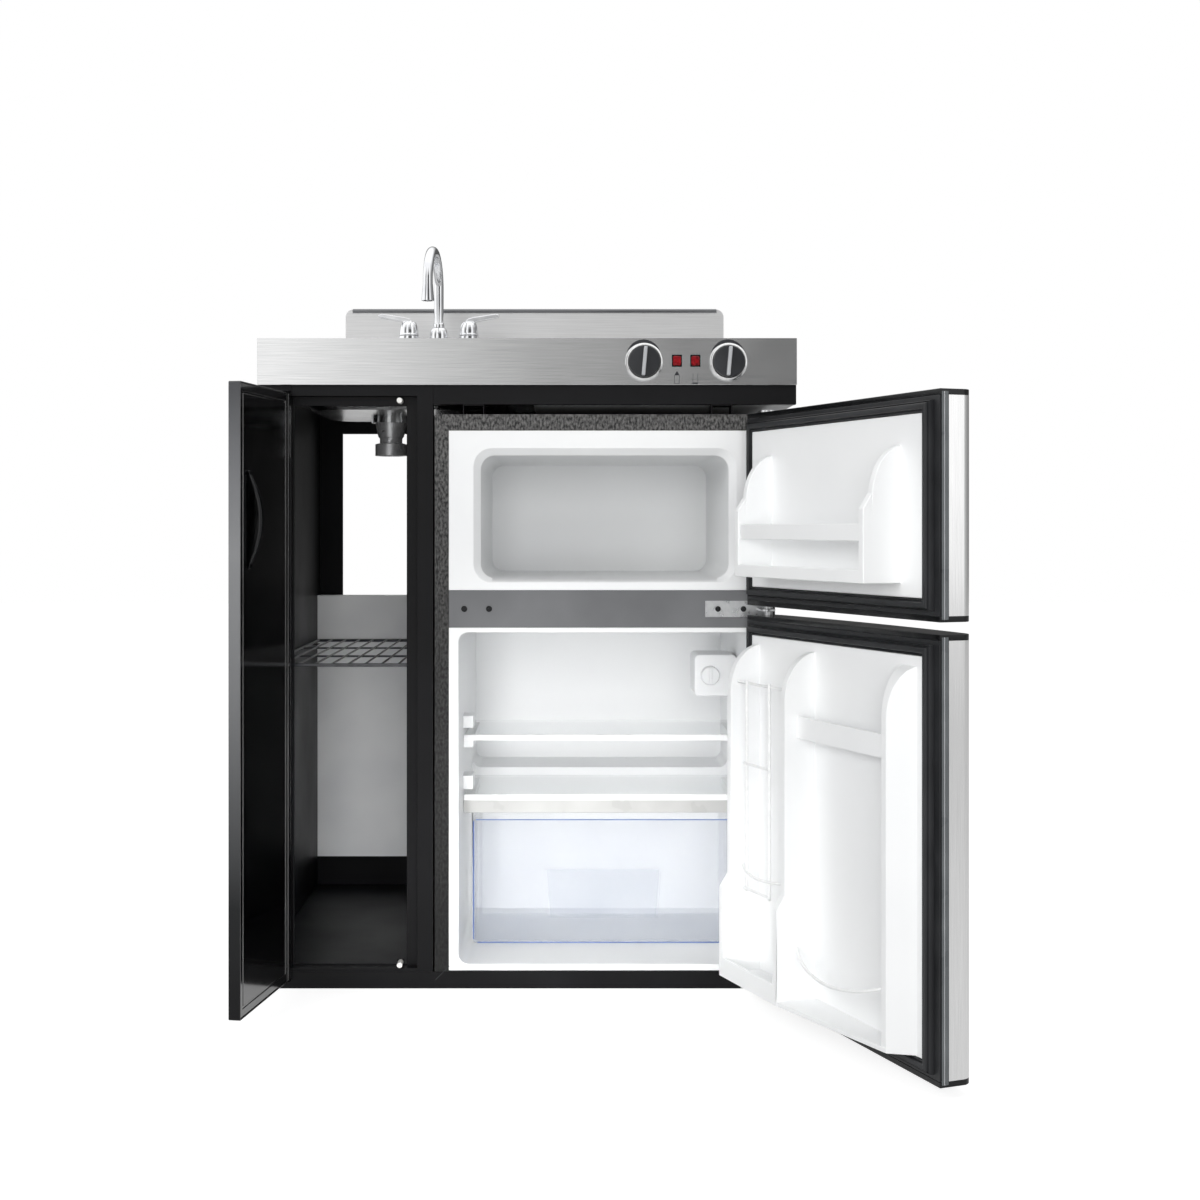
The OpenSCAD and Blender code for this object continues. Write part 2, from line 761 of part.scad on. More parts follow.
module sink_bowl() {
    color("#cfd1d3") difference() {
        union() {
            flat_plate(sink_x, sink_y, sink_w + 2 * sink_flange,
                       sink_l + 2 * sink_flange, deck_under - sheet, deck_under,
                       sink_r + sink_flange);
            bowl_shape(sheet, sink_under);
        }
        bowl_shape(0, sink_floor);
        translate([0, 0, 0.4]) bowl_shape(0, sink_floor);
        translate([drain_x, drain_y, sink_under - 1])
            cylinder(h = sheet + 2, r = strainer_r + clearance);
    }
}

strainer_z0 = sink_under - strainer_l;
slip_z1 = strainer_z0 - 12;
slip_z0 = slip_z1 - slip_nut_h;
slip_r = tail_r + 5.5;
lock_h = 10;

module strainer_body() {
    wall = 2;
    neck = tail_r - 1.5;
    low_r = strainer_r - 4.5;
    cone_z1 = sink_under - lock_h - 1;
    seat_z = slip_z0 + 14;
    color("#d5d7d9") translate([drain_x, drain_y, 0]) rotate_extrude() polygon([
        [tail_r + clearance, slip_z0], [slip_r, slip_z0], [slip_r, slip_z1],
        [neck, slip_z1 + 2], [neck, strainer_z0 - 3], [low_r, strainer_z0],
        [strainer_r, cone_z1], [strainer_r, sink_floor], [strainer_flange_r, sink_floor],
        [strainer_flange_r, sink_floor + 1.2], [strainer_r - wall, sink_floor + 0.6],
        [strainer_r - wall, cone_z1], [low_r - wall, strainer_z0 + 2],
        [neck - wall, strainer_z0 - 1], [neck - wall, seat_z], [tail_r + clearance, seat_z]
    ]);
}

neck_r = shank_r + 0.6;

module lock_nuts() {
    color("#77797c") {
        // Under the sink
        translate([drain_x, drain_y, sink_under - lock_h]) difference() {
            union() {
                cylinder(h = lock_h, r = strainer_r + 3);
                for (i = [0:7]) rotate([0, 0, i * 45]) translate([strainer_r + 1, -3, 0])
                    cube([4.5, 6, lock_h]);
            }
            translate([0, 0, -1]) cylinder(h = lock_h + 2, r = strainer_r + running);
        }
        // Under the worktop, on the faucet's shanks
        for (s = [-1, 1]) translate([faucet_x + s * handle_x, faucet_y, deck_under - 9])
            difference() {
                cylinder(h = 9, r = 20, $fn = 6);
                translate([0, 0, -1]) cylinder(h = 11, r = neck_r + running);
            }
    }
}

// A rounded shoulder from radius r0 at z0 up to r1 at z1
function bell(r0, r1, z0, z1) =
    [for (a = [0:15:90]) [r1 + (r0 - r1) * cos(a), z0 + (z1 - z0) * sin(a)]];

hub_r = 16;
cap_r = 17;
post_r = 13;
post_h = 52;
stem_r = 5;
cap_h = 24;

module faucet_base() {
    color("#d8dadc") translate([faucet_x, faucet_y, field_z]) difference() {
        union() {
            linear_extrude(deck_t) rounded(deck_l, deck_w, deck_w / 2 - 1);
            rotate_extrude() polygon(concat(
                [[0, 0], [hub_r + 5, 0], [hub_r + 5, deck_t]],
                bell(hub_r, riser_d / 2 + 2, deck_t + hub_h - 17, deck_t + hub_h),
                [[0, deck_t + hub_h]]));
            for (s = [-1, 1]) translate([s * handle_x, 0, 0]) {
                cylinder(h = deck_t + post_h, r1 = post_r + 9, r2 = cap_r);
                translate([0, 0, -12]) cylinder(h = 13, r = neck_r);
                translate([0, 0, -shank_l]) cylinder(h = shank_l - 11, r = shank_r);
            }
        }
        translate([0, 0, deck_t + hub_h - 40])
            cylinder(h = 41, r = riser_d / 2 + running);
        for (s = [-1, 1]) translate([s * handle_x, 0, 0]) {
            translate([0, 0, deck_t + post_h - 24]) cylinder(h = 25, r = stem_r + running);
            translate([0, 0, -shank_l - 1]) cylinder(h = 50, r = shank_r - 3);
        }
    }
}

module spout() {
    r = spout_reach / 2;
    arc_z = spout_top - riser_d / 2 - r;
    top = deck_t + hub_h;
    drop_z = arc_z - spout_drop;
    color("#d8dadc") translate([faucet_x, faucet_y, field_z]) rotate([0, 0, -spout_turn])
        difference() {
            union() {
                translate([0, 0, top - 38]) cylinder(h = arc_z - top + 38, d = riser_d);
                translate([0, 0, top + clearance])
                    cylinder(h = 8, r1 = riser_d / 2 + 2, r2 = riser_d / 2 + 1);
                translate([0, -r, arc_z]) rotate([90, 0, 90])
                    rotate_extrude(angle = 180) translate([r, 0]) circle(d = riser_d);
                translate([0, -2 * r, drop_z]) cylinder(h = spout_drop, d = riser_d);
                translate([0, -2 * r, drop_z])
                    cylinder(h = spout_drop - 6, d1 = nozzle_d, d2 = riser_d + 0.4);
            }
            translate([0, -2 * r, drop_z - 1]) cylinder(h = 14, r = nozzle_d / 2 - 3);
        }
}

// One lever, with its cap and its stem, about its own axis; it points along -X
module lever() {
    z0 = deck_t + post_h + clearance;
    tip = lever_rise;
    translate([0, 0, z0 - 22]) cylinder(h = 24, r = stem_r);
    rotate_extrude() polygon(concat(
        [[0, z0], [cap_r, z0], [cap_r, z0 + 2]], bell(cap_r - 1, 9, z0 + 4, z0 + cap_h),
        [[0, z0 + cap_h]]));
    translate([0, 6.5, 0]) rotate([90, 0, 0]) linear_extrude(13) polygon([
        [7, z0 + cap_h - 8], [7, z0 + cap_h - 2], [2, z0 + cap_h + 5], [-8, z0 + cap_h + 8],
        [-lever_l + 6, tip], [-lever_l, tip - 2], [-lever_l, tip - 6],
        [-lever_l + 8, tip - 8], [-12, z0 + cap_h], [-8, z0 + cap_h - 8]
    ]);
}

module hot_handle() {
    color("#d8dadc") translate([faucet_x - handle_x, faucet_y, field_z]) lever();
}

module cold_handle() {
    color("#d8dadc") translate([faucet_x + handle_x, faucet_y, field_z])
        mirror([1, 0, 0]) lever();
}

basket_drop = 20;
basket_floor = sink_floor - basket_drop;

module strainer_basket() {
    r = strainer_r - 3;
    color("#c4c6c8") translate([drain_x, drain_y, basket_floor]) {
        difference() {
            union() {
                cylinder(h = basket_h - 4, r1 = r - 4, r2 = r);
                // The lip that rests on the strainer's flange
                translate([0, 0, basket_drop + 1]) cylinder(h = 1.5, r = r + 4);
            }
            translate([0, 0, 1.5]) cylinder(h = basket_h - 4, r1 = r - 5.3, r2 = r - 1.3);
            for (i = [0:5]) rotate([0, 0, i * 60]) translate([r / 2, 0, -1])
                cylinder(h = 4, r = 2.6);
        }
        cylinder(h = basket_h, r = 3);
        translate([0, 0, basket_h - 2]) cylinder(h = 5, r1 = 4, r2 = 8);
    }
}

/* ---- Hob and controls ---- */

module drip_bowl(y, r) {
    z1 = field_z + bowl_t;
    ledge = r - 14;
    color("#d0d2d4") translate([hob_x, y, 0]) difference() {
        rotate_extrude() polygon([
            [r, field_z], [r, z1 - 0.4], [r - 3, z1], [r - 9.5, z1],
            [r - 9.5, support_z], [ledge, support_z], [ledge - 22, field_z - bowl_depth],
            [18, field_z - bowl_depth], [18, field_z - bowl_depth - bowl_t],
            [ledge - 22, field_z - bowl_depth - bowl_t], [ledge + 0.6, support_z - bowl_t],
            [r - 9.5 + bowl_t, support_z - bowl_t], [r - 9.5 + bowl_t, field_z]
        ]);
        // Notch where the element's terminals pass through
        block(-18, 18, -r, -ledge + 26, leg_z - 6, support_z - bowl_t - 1.5);
    }
}

module drip_bowls() {
    drip_bowl(small_y, small_bowl_r);
    drip_bowl(large_y, large_bowl_r);
}

// The heating tube's path: up from the terminals, in under the coil, then out
leg_gap = 9;
leg_z = field_z - 14;
leg_reach = 27;
coil_steps = 24;
function coil_path(R, turns) =
    let(r0 = R - turns * coil_pitch, end = R + leg_reach)
    concat(
        [[-leg_gap, -end, leg_z], [-leg_gap, -end + coil_d, leg_z], [-leg_gap, -r0 - 14, leg_z],
         [-leg_gap, -r0 - 4, leg_z + 4], [-leg_gap * 0.7, -r0, leg_z + 13]],
        [for (i = [0:turns * coil_steps]) let(a = -90 + 360 * i / coil_steps,
            r = r0 + coil_pitch * i / coil_steps) [r * cos(a), r * sin(a), coil_z]],
        [[leg_gap * 0.8, -R - 1, coil_z - 7], [leg_gap, -R - 3, leg_z + 5],
         [leg_gap, -R - 9, leg_z], [leg_gap, -end + coil_d, leg_z], [leg_gap, -end, leg_z]]
    );

function unit(v) = v / norm(v);
function tangent(p, i) = unit(p[min(i + 1, len(p) - 1)] - p[max(i - 1, 0)]);

// A six-sided tube along a path, closed at both ends
module tube_along(p, d) {
    n = 6;
    rings = [for (i = [0:len(p) - 1]) let(
        t = tangent(p, i),
        side = unit(cross(t, [0, 0, 1])),
        up = cross(side, t)
    ) for (k = [0:n - 1]) let(a = 360 * k / n + 30)
        p[i] + d / 2 * (cos(a) * side + sin(a) * up)];
    last = (len(p) - 1) * n;
    faces = concat(
        [for (i = [0:len(p) - 2], k = [0:n - 1]) let(q = i * n, m = (k + 1) % n)
            [q + k, q + n + m, q + m]],
        [for (i = [0:len(p) - 2], k = [0:n - 1]) let(q = i * n, m = (k + 1) % n)
            [q + k, q + n + k, q + n + m]],
        [for (k = [1:n - 2]) [0, k, k + 1]],
        [for (k = [1:n - 2]) [last, last + k + 1, last + k]]
    );
    polyhedron(points = rings, faces = faces);
}

// The least clear distance between stretches of a tube more than half a turn apart
function least_gap(p, d) = min([for (i = [0:len(p) - 14]) min(
    [for (j = [i + 12:len(p) - 1]) norm(p[i] - p[j])])]) - d;
echo(small_coil_gap = least_gap(coil_path(small_coil_r, small_turns), coil_d));
echo(large_coil_gap = least_gap(coil_path(large_coil_r, large_turns), coil_d));

module front_element() {
    color("#2b2b2c") translate([hob_x, small_y, 0])
        tube_along(coil_path(small_coil_r, small_turns), coil_d);
}

module rear_element() {
    color("#2b2b2c") translate([hob_x, large_y, 0])
        tube_along(coil_path(large_coil_r, large_turns), coil_d);
}

// Three flat legs on edge that carry a coil in its bowl
module element_support(y, r) {
    translate([hob_x, y, support_z]) difference() {
        union() {
            for (a = [-30, 90, 210]) rotate([0, 0, a]) translate([0, -1, 0])
                cube([r - 11, 2, support_h]);
            cylinder(h = support_h, r = 9);
        }
        translate([0, 0, -1]) cylinder(h = support_h + 2, r = 6);
    }
}

module element_supports() {
    color("#9a9c9f") {
        element_support(small_y, small_bowl_r);
        element_support(large_y, large_bowl_r);
    }
}

// The terminal block that hangs under the worktop and takes the element's two legs
module element_receptacle(y, R) {
    y1 = y - R - bowl_margin + 8 - 1.5;
    tip = y - R - leg_reach;
    color("#e5e0d2") translate([hob_x, 0, 0]) difference() {
        block(-22, 22, tip - 8, y1, leg_z - 10, deck_under);
        for (s = [-1, 1])
            bore_y(s * leg_gap, leg_z, coil_d / 2 + clearance, tip - clearance, y1 + 1);
    }
}

module element_receptacles() {
    element_receptacle(small_y, small_coil_r);
    element_receptacle(large_y, large_coil_r);
}

module heat_switches() {
    y0 = front_y + sheet;
    color("#dcdcd6") for (x = [left_knob_offset, right_knob_offset]) difference() {
        union() {
            block(x - 20, x + 20, y0 + 3, y0 + 27, knob_z - 24, knob_z + 24);
            bore_y(x, knob_z, shaft_r + 3, y0, y0 + 3);
        }
        bore_y(x, knob_z, shaft_r + running, y0 - 1, y0 + 22);
    }
}

// A knob on its own axis, which points at the user along -Y
module knob() {
    skirt_t = 6;
    grip_w = 6;
    rotate([90, 0, 0]) {
        translate([0, 0, -18]) cylinder(h = 20, r = shaft_r);
        cylinder(h = skirt_t, r1 = knob_d / 2, r2 = knob_d / 2 - 2);
        cylinder(h = knob_t - 8, r1 = knob_face_d / 2, r2 = knob_face_d / 2 - 1.5);
        rotate([0, 0, -grip_turn]) intersection() {
            translate([-grip_w / 2, -knob_face_d / 2, 0]) cube([grip_w, knob_face_d, knob_t]);
            cylinder(h = knob_t, r1 = knob_face_d / 2, r2 = knob_face_d / 2 - 2);
        }
    }
}

module left_knob() {
    color("#6b6d70") translate([left_knob_offset, front_y - 1, knob_z]) knob();
}

module right_knob() {
    color("#6b6d70") translate([right_knob_offset, front_y - 1, knob_z]) knob();
}

module indicator_lights() {
    w = lamp_d;
    h = 1.18 * w;
    color("#c40018") for (s = [-1, 1])
        translate([lamp_x + s * lamp_centres / 2, front_y, knob_z + 2]) rotate([90, 0, 0]) {
            linear_extrude(1.5) rounded(w, h, 2.5);
            linear_extrude(3) rounded(w - 2, h - 2, 2.5);
            translate([0, 0, -16]) cylinder(h = 17, r = w / 2 - 2);
        }
}

/* ---- Fridge body ---- */

function case_profile(t) = [
    [face_y + t, base_h + t], [bay_y - t, base_h + t], [bay_y - t, bay_z + t],
    [case_y1 - t, bay_z + t], [case_y1 - t, case_z1 - t], [face_y + t, case_z1 - t]
];

module fridge_case() {
    color("#3b3b3c") difference() {
        along_x(case_profile(0), case_x0, case_x1);
        along_x(case_profile(sheet), case_x0 + sheet, case_x1 - sheet);
        block(mouth_x0, mouth_x1, face_y - 1, face_y + sheet + 1, mouth_z0, mouth_z1);
    }
}

// The fridge's cavity, grown on every side by t
module fridge_cavity(t) {
    upright_plate(fridge_x0 - t, fridge_x1 + t, fridge_z0 - t, fridge_z1 + t,
                  face_y - 1 + t, low_cav_y1 + t, fridge_cav_r + t);
    upright_plate(fridge_x0 - t, fridge_x1 + t, low_cav_z1 - t, fridge_z1 + t,
                  low_cav_y1 - 60, fridge_y1 + t, fridge_cav_r + t);
}

// The freezer's cavity, grown on every side by t
module freezer_cavity(t) {
    upright_plate(freezer_x0 - t, freezer_x1 + t, freezer_z0 - t, freezer_z1 + t,
                  face_y - 1 + t, freezer_y1 + t, freezer_cav_r + t);
}

// The flared mouth of the freezer's cavity, grown by t
module freezer_mouth(t) {
    b = mouth_bevel;
    hull() {
        upright_plate(freezer_x0 - b - t, freezer_x1 + b + t, freezer_z0 - b * 0.6 - t,
                      freezer_z1 + b + t, face_y - 0.5, face_y, freezer_cav_r + b * 0.6, $fn = 32);
        upright_plate(freezer_x0 - t, freezer_x1 + t, freezer_z0 - t, freezer_z1 + t,
                      face_y + b, face_y + b + 0.5, freezer_cav_r, $fn = 32);
    }
}

module fridge_foam() {
    t = liner_t;
    color("#e6dfb8") difference() {
        along_x(case_profile(sheet), case_x0 + sheet, case_x1 - sheet);
        block(case_x0, case_x1, face_y, face_y + t, base_h, case_z1);
        block(mouth_x0, mouth_x1, face_y, face_y + mullion_d, mullion_z0, mullion_z1);
        fridge_cavity(t);
        freezer_cavity(t);
        freezer_mouth(t);
    }
}

module freezer_liner() {
    t = liner_t;
    color("#f4f5f6") difference() {
        union() {
            block(mouth_x0, mouth_x1, face_y, face_y + t, mullion_z1, mouth_z1);
            difference() {
                union() {
                    freezer_cavity(t);
                    freezer_mouth(t);
                }
                block(case_x0, case_x1, face_y - 20, face_y, base_h, case_z1);
            }
        }
        freezer_cavity(0);
        freezer_mouth(0);
    }
}

rail_w = 15;

// A moulded ledge on both side walls of the fridge
module wall_ledges(z0, z1, y0, y1) {
    block(fridge_x0 - 1, fridge_x0 + rail_w, y0, y1, z0, z1);
    block(fridge_x1 - rail_w, fridge_x1 + 1, y0, y1, z0, z1);
}

shelf_y0 = face_y + shelf_setback;
rail_l = low_cav_y1 - 36 - shelf_y0;
upper_z = fridge_z0 + upper_share * fridge_cav_h;
cover_top = fridge_z0 + cover_share * fridge_cav_h;

module fridge_liner() {
    t = liner_t;
    color("#f4f5f6") {
        difference() {
            union() {
                block(mouth_x0, mouth_x1, face_y, face_y + t, mouth_z0, mullion_z0);
                fridge_cavity(t);
            }
            fridge_cavity(0);
            block(case_x0, case_x1, face_y - 20, face_y, base_h, case_z1);
        }
        wall_ledges(upper_z - glass_t - 14, upper_z - glass_t, shelf_y0 + 4, shelf_y0 + rail_l);
        wall_ledges(upper_z + 12, upper_z + 30, shelf_y0 - 6, shelf_y0 + 40);
        wall_ledges(cover_top - glass_t - 14, cover_top - glass_t, shelf_y0 + 4, shelf_y0 + rail_l);
        wall_ledges(cover_top + 10, cover_top + 30, shelf_y0 - 6, shelf_y0 + 40);
    }
}

// The two spare hinge holes and their plugs
plug_places = [22, 57];
plug_r = 3.4;

module mullion() {
    color("#6e6e70") difference() {
        block(mouth_x0, mouth_x1, face_y, face_y + mullion_d, mullion_z0, mullion_z1);
        for (dx = plug_places)
            bore_y(mouth_x0 + dx, mullion_mid, plug_r + running, face_y - 1, face_y + 12);
    }
}

/* ---- Hinges ---- */

arm_r = 11;
plate_2 = 2;

// A hinge plate that reaches from y1 out to the fridge's pins
module hinge_arm(z0, z1, y1) {
    translate([pin_x, pin_y, z0]) cylinder(h = z1 - z0, r = arm_r);
    block(pin_x - arm_r, pin_x + arm_r, pin_y, y1, z0, z1);
}

module pin(x, y, z0, z1, r) {
    translate([x, y, z0]) cylinder(h = z1 - z0, r = r);
}

module hinge_brackets() {
    mid0 = mullion_mid - hinge_t / 2;
    mid1 = mullion_mid + hinge_t / 2;
    low1 = leaf_z0 - pivot_gap;
    color("#d9dadb") {
        // On top of the case
        hinge_arm(case_z1, case_z1 + hinge_t, face_y + 46);
        pin(pin_x, pin_y, case_z1 - pivot_gap - pin_l, case_z1 + 1, pin_r);
        // On the mullion, between the doors
        hinge_arm(mid0, mid1, face_y);
        block(pin_x - 84, pin_x + arm_r, face_y - plate_2, face_y, mullion_mid - 11.5,
              mullion_mid + 11.5);
        pin(pin_x, pin_y, fridge_leaf_z1 - pin_l, freezer_leaf_z0 + pin_l, pin_r);
        // On the front of the base
        hinge_arm(low1 - hinge_t, low1, face_y);
        block(pin_x - 34, pin_x + arm_r, face_y - plate_2, face_y, 1, low1);
        pin(pin_x, pin_y, low1 - 1, leaf_z0 + pin_l, pin_r);
    }
}

module hinge_screws() {
    color("#1a1a1b") {
        for (dy = [8, 28]) translate([pin_x, face_y + dy + 6, case_z1 + hinge_t])
            cylinder(h = 2.4, r1 = 5, r2 = 3.5);
        for (dx = [30, 66])
            bore_y(pin_x - dx, mullion_mid, 4, face_y - plate_2 - 1.6, face_y - plate_2);
        // Plugs in the mullion's spare hinge holes
        for (dx = plug_places) {
            bore_y(mouth_x0 + dx, mullion_mid, plug_r + 1, face_y - 0.9, face_y);
            bore_y(mouth_x0 + dx, mullion_mid, plug_r, face_y, face_y + 9);
        }
    }
}

/* ---- Fridge fittings ---- */

module glass_shelf(top, drop) {
    x0 = fridge_x0 + 1;
    x1 = fridge_x1 - 1;
    block(x0, x1, shelf_y0 + 4, shelf_y0 + rail_l, top - glass_t, top);
    block(x0, x1, shelf_y0, shelf_y0 + 4, top - max(drop, trim_h - 1), top + 1);
}

module upper_shelf() {
    color("#dfe6e8") glass_shelf(upper_z, 0);
}

module crisper_cover() {
    color("#dfe6e8") glass_shelf(cover_top, fascia_h);
}

housing_x0 = fridge_x1 - 65;
housing_y0 = face_y + 200;
housing_z0 = fridge_z1 - 110;
housing_h = 64;
dial_x = housing_x0 + 24;
dial_z = housing_z0 + housing_h / 2;

module thermostat_housing() {
    color("#eef0f1") difference() {
        upright_plate(housing_x0, fridge_x1, housing_z0, housing_z0 + housing_h, housing_y0,
                      housing_y0 + 90, 8);
        bore_y(dial_x, dial_z, 3 + running, housing_y0 - 1, housing_y0 + 14);
    }
}

module thermostat_dial() {
    color("#f2f3f4") translate([dial_x, housing_y0 - clearance, dial_z])
        rotate([90, 0, 0]) {
            cylinder(h = 9, r1 = dial_d / 2, r2 = dial_d / 2 - 1.5);
            translate([-2.5, -dial_d / 2 + 2, 0]) cube([5, dial_d - 4, 13]);
            translate([0, 0, -12]) cylinder(h = 13, r = 3);
        }
}

drawer_l = low_cav_y1 - drawer_back - drawer_y0;
drawer_h = cover_top - fascia_h - drawer_drop - drawer_z0;
pull_w = 172;
pull_d = 14;

module crisper_drawer() {
    t = drawer_t;
    y1 = drawer_y0 + drawer_l;
    z1 = drawer_z0 + drawer_h;
    cx = (drawer_x0 + drawer_x1) / 2;
    w = drawer_x1 - drawer_x0;
    pz0 = drawer_z0 + 40;
    pz1 = drawer_z0 + 0.61 * drawer_h;
    color("#cfdcea") {
        difference() {
            flat_plate(cx, drawer_y0 + drawer_l / 2, w, drawer_l, drawer_z0, z1, 10);
            flat_plate(cx, drawer_y0 + drawer_l / 2, w - 2 * t, drawer_l - 2 * t,
                       drawer_z0 + t, z1 + 1, 10 - t);
        }
        // The pull: a scoop that is open at the top
        difference() {
            translate([cx, drawer_y0 + 1, 0]) rotate([90, 0, 0]) linear_extrude(pull_d) polygon([
                [-pull_w / 2, pz1], [-pull_w / 2 + 5, pz0], [pull_w / 2 - 5, pz0], [pull_w / 2, pz1]]);
            translate([cx, drawer_y0 - t, 0]) rotate([90, 0, 0]) linear_extrude(pull_d - 2 * t) polygon([
                [-pull_w / 2 + t, pz1 + 1], [-pull_w / 2 + 5 + t, pz0 + t],
                [pull_w / 2 - 5 - t, pz0 + t], [pull_w / 2 - t, pz1 + 1]]);
        }
    }
}

comp_offset = 90;
comp_r = 74;
comp_seam = 3;
shell_h = 70;
foot_h = 20;
foot_r = 12;

module compressor() {
    cx = case_cx - comp_offset;
    cy = (bay_y + rear_y) / 2;
    color("#151516") {
        translate([cx, cy, sheet]) {
            for (sx = [-1, 1], sy = [-1, 1])
                translate([sx * (comp_r - foot_r), sy * 4 * foot_r, 0])
                    cylinder(h = foot_h, r = foot_r);
            block(-comp_r - 4, comp_r + 4, -5 * foot_r + 2, 5 * foot_r - 2, foot_h, foot_h + 3);
            translate([0, 0, foot_h + 3]) rotate_extrude() polygon(concat(
                [[0, 0], [comp_r - 14, 0], [comp_r - 2, 14], [comp_r, shell_h],
                 [comp_r + comp_seam, shell_h], [comp_r + comp_seam, shell_h + 2 * comp_seam],
                 [comp_r, shell_h + 2 * comp_seam]],
                arc(0, shell_h + 2 * comp_seam, comp_r, 6, 84, 12),
                [[0, shell_h + 2 * comp_seam + comp_r]]));
            // Terminal cover
            block(comp_r - 14, comp_r + 18, -2 * foot_r, 2 * foot_r, shell_h - 10, shell_h + 34);
        }
    }
}

module condenser() {
    x0 = case_x0 + 50;
    x1 = case_x1 - 50;
    y = case_y1 + 9;
    runs = 9;
    z0 = bay_z + 40;
    dz = 55;
    color("#1b1b1c") {
        for (i = [0:runs - 1]) rod([x0, y, z0 + i * dz], [x1, y, z0 + i * dz], 5);
        for (i = [0:runs - 2]) let(right = i % 2 == 0)
            translate([right ? x1 : x0, y, z0 + (i + 0.5) * dz])
                rotate([90, right ? 90 : -90, 0]) rotate_extrude(angle = 180)
                    translate([dz / 2, 0]) circle(d = 5);
        for (k = [0:7]) let(x = x0 + 20 + k * (x1 - x0 - 40) / 7)
            block(x - 6, x + 6, y - 9, y, z0 - 10, z0 + (runs - 1) * dz + 10);
    }
}

/* ---- Cupboard door ---- */

module storage_door() {
    t = sheet;
    color("#202022") at_cupboard_door() {
        difference() {
            union() {
                pin(cab_pin_x, cab_pin_y, door_z0, door_z1, door_t / 2);
                difference() {
                    block(cab_pin_x, door_x1, door_front, door_back, door_z0, door_z1);
                    block(cab_pin_x + door_t / 2, door_x1 - t, door_front + t, door_back + 1,
                          door_z0 + t, door_z1 - t);
                }
                ring_y(cab_pin_x + door_t / 2 - 1, door_x1, door_z0, door_z1, door_front + 1,
                       door_back - 3 * t, 12, 12);
            }
            for (z = [door_z0 - 1, door_z1 - 20])
                pin(cab_pin_x, cab_pin_y, z, z + 21, cab_pin_r + running);
        }
        // The inner panel, set into the folded edges
        difference() {
            block(cab_pin_x + door_t / 2 + clearance, door_x1 - t - clearance, door_back - 3 * t,
                  door_back - t, door_z0 + t + clearance, door_z1 - t - clearance);
            ring_y(cab_pin_x + 16, door_x1 - 12, door_z0 + 12, door_z1 - 12, door_back - 1.6 * t,
                   door_back, 3, 3);
        }
    }
}

// A curved bow that stands out along +Y from y = 0, with its feet at both ends
module bow(length, out, thick, wide) {
    r = (length * length / 4 + out * out) / (2 * out);
    a = asin(length / 2 / r);
    rotate([90, 0, 90]) translate([0, 0, -wide / 2]) linear_extrude(wide) {
        polygon(concat(arc(out - r, 0, r, -a, a, 24), arc(out - r, 0, r - thick, a, -a, 24)));
        for (s = [-1, 1]) translate([0, s * (length / 2 - 5)]) square([6, 12], center = true);
    }
}

module storage_door_handle() {
    color("#2a2a2c") at_cupboard_door() difference() {
        translate([open_x1 - 15, door_back - sheet, under_z - handle_drop])
            bow(handle_l, handle_out, handle_t, 10);
        block(door_x0, door_x1, door_front, door_back - sheet, door_z0, door_z1);
    }
}

/* ---- Fridge doors ---- */

bow_r = ((leaf_x1 - leaf_x0) / 2) * ((leaf_x1 - leaf_x0) / 2) / (2 * leaf_bow) + leaf_bow / 2;

// A fridge door's outline from above, drawn in by t at the front and the sides
module leaf_outline(t) {
    x0 = leaf_x0 + t;
    x1 = leaf_x1 - t;
    r = leaf_r;
    side_y = leaf_front + leaf_bow;
    intersection() {
        union() {
            translate([x0, side_y + r]) square([x1 - x0, leaf_back - side_y - r]);
            translate([x0 + r, leaf_front]) square([x1 - x0 - 2 * r, leaf_back - leaf_front]);
            for (x = [x0 + r, x1 - r]) translate([x, side_y + r]) circle(r);
        }
        translate([(leaf_x0 + leaf_x1) / 2, leaf_front + bow_r]) circle(bow_r - t, $fn = 1440);
    }
}

module leaf_part(z0, z1) {
    translate([0, 0, z0]) linear_extrude(z1 - z0) children();
}

module leaf_skin(z0, z1) {
    leaf_part(z0 + cap_t, z1 - cap_t) difference() {
        leaf_outline(0);
        leaf_outline(skin_t);
        translate([leaf_x0 - 1, leaf_mid]) square([leaf_x1 - leaf_x0 + 2, frame_t + 1]);
    }
}

module leaf_caps(z0, z1) {
    difference() {
        union() {
            leaf_part(z0, z0 + cap_t) leaf_outline(0);
            leaf_part(z1 - cap_t, z1) leaf_outline(0);
        }
        pin(pin_x, pin_y, z0 - 1, z0 + cap_t + 1, pin_r + running);
        pin(pin_x, pin_y, z1 - cap_t - 1, z1 + 1, pin_r + running);
    }
}

module leaf_frame(z0, z1) {
    difference() {
        ring_y(leaf_x0, leaf_x1, z0 + cap_t, z1 - cap_t, leaf_mid, leaf_back, frame_w, frame_w - cap_t);
        // Grooves down both edges
        for (x = [leaf_x0, leaf_x1], dy = [4.5, 9.5])
            block(x - 1.2, x + 1.2, leaf_mid + dy - 1, leaf_mid + dy + 1, z0, z1);
        for (z = [z0, z1 - pin_l - 6]) pin(pin_x, pin_y, z, z + pin_l + 6, pin_r + 2);
    }
}

module leaf_core(z0, z1) {
    difference() {
        union() {
            leaf_part(z0 + cap_t, z1 - cap_t) difference() {
                leaf_outline(skin_t);
                translate([leaf_x0 - 1, leaf_mid]) square([leaf_x1 - leaf_x0 + 2, frame_t + 1]);
            }
            block(leaf_x0 + frame_w, leaf_x1 - frame_w, leaf_mid - 1, leaf_back - liner_t,
                  z0 + frame_w, z1 - frame_w);
        }
        for (z = [z0, z1 - pin_l - 6]) pin(pin_x, pin_y, z, z + pin_l + 6, pin_r + 2);
    }
}

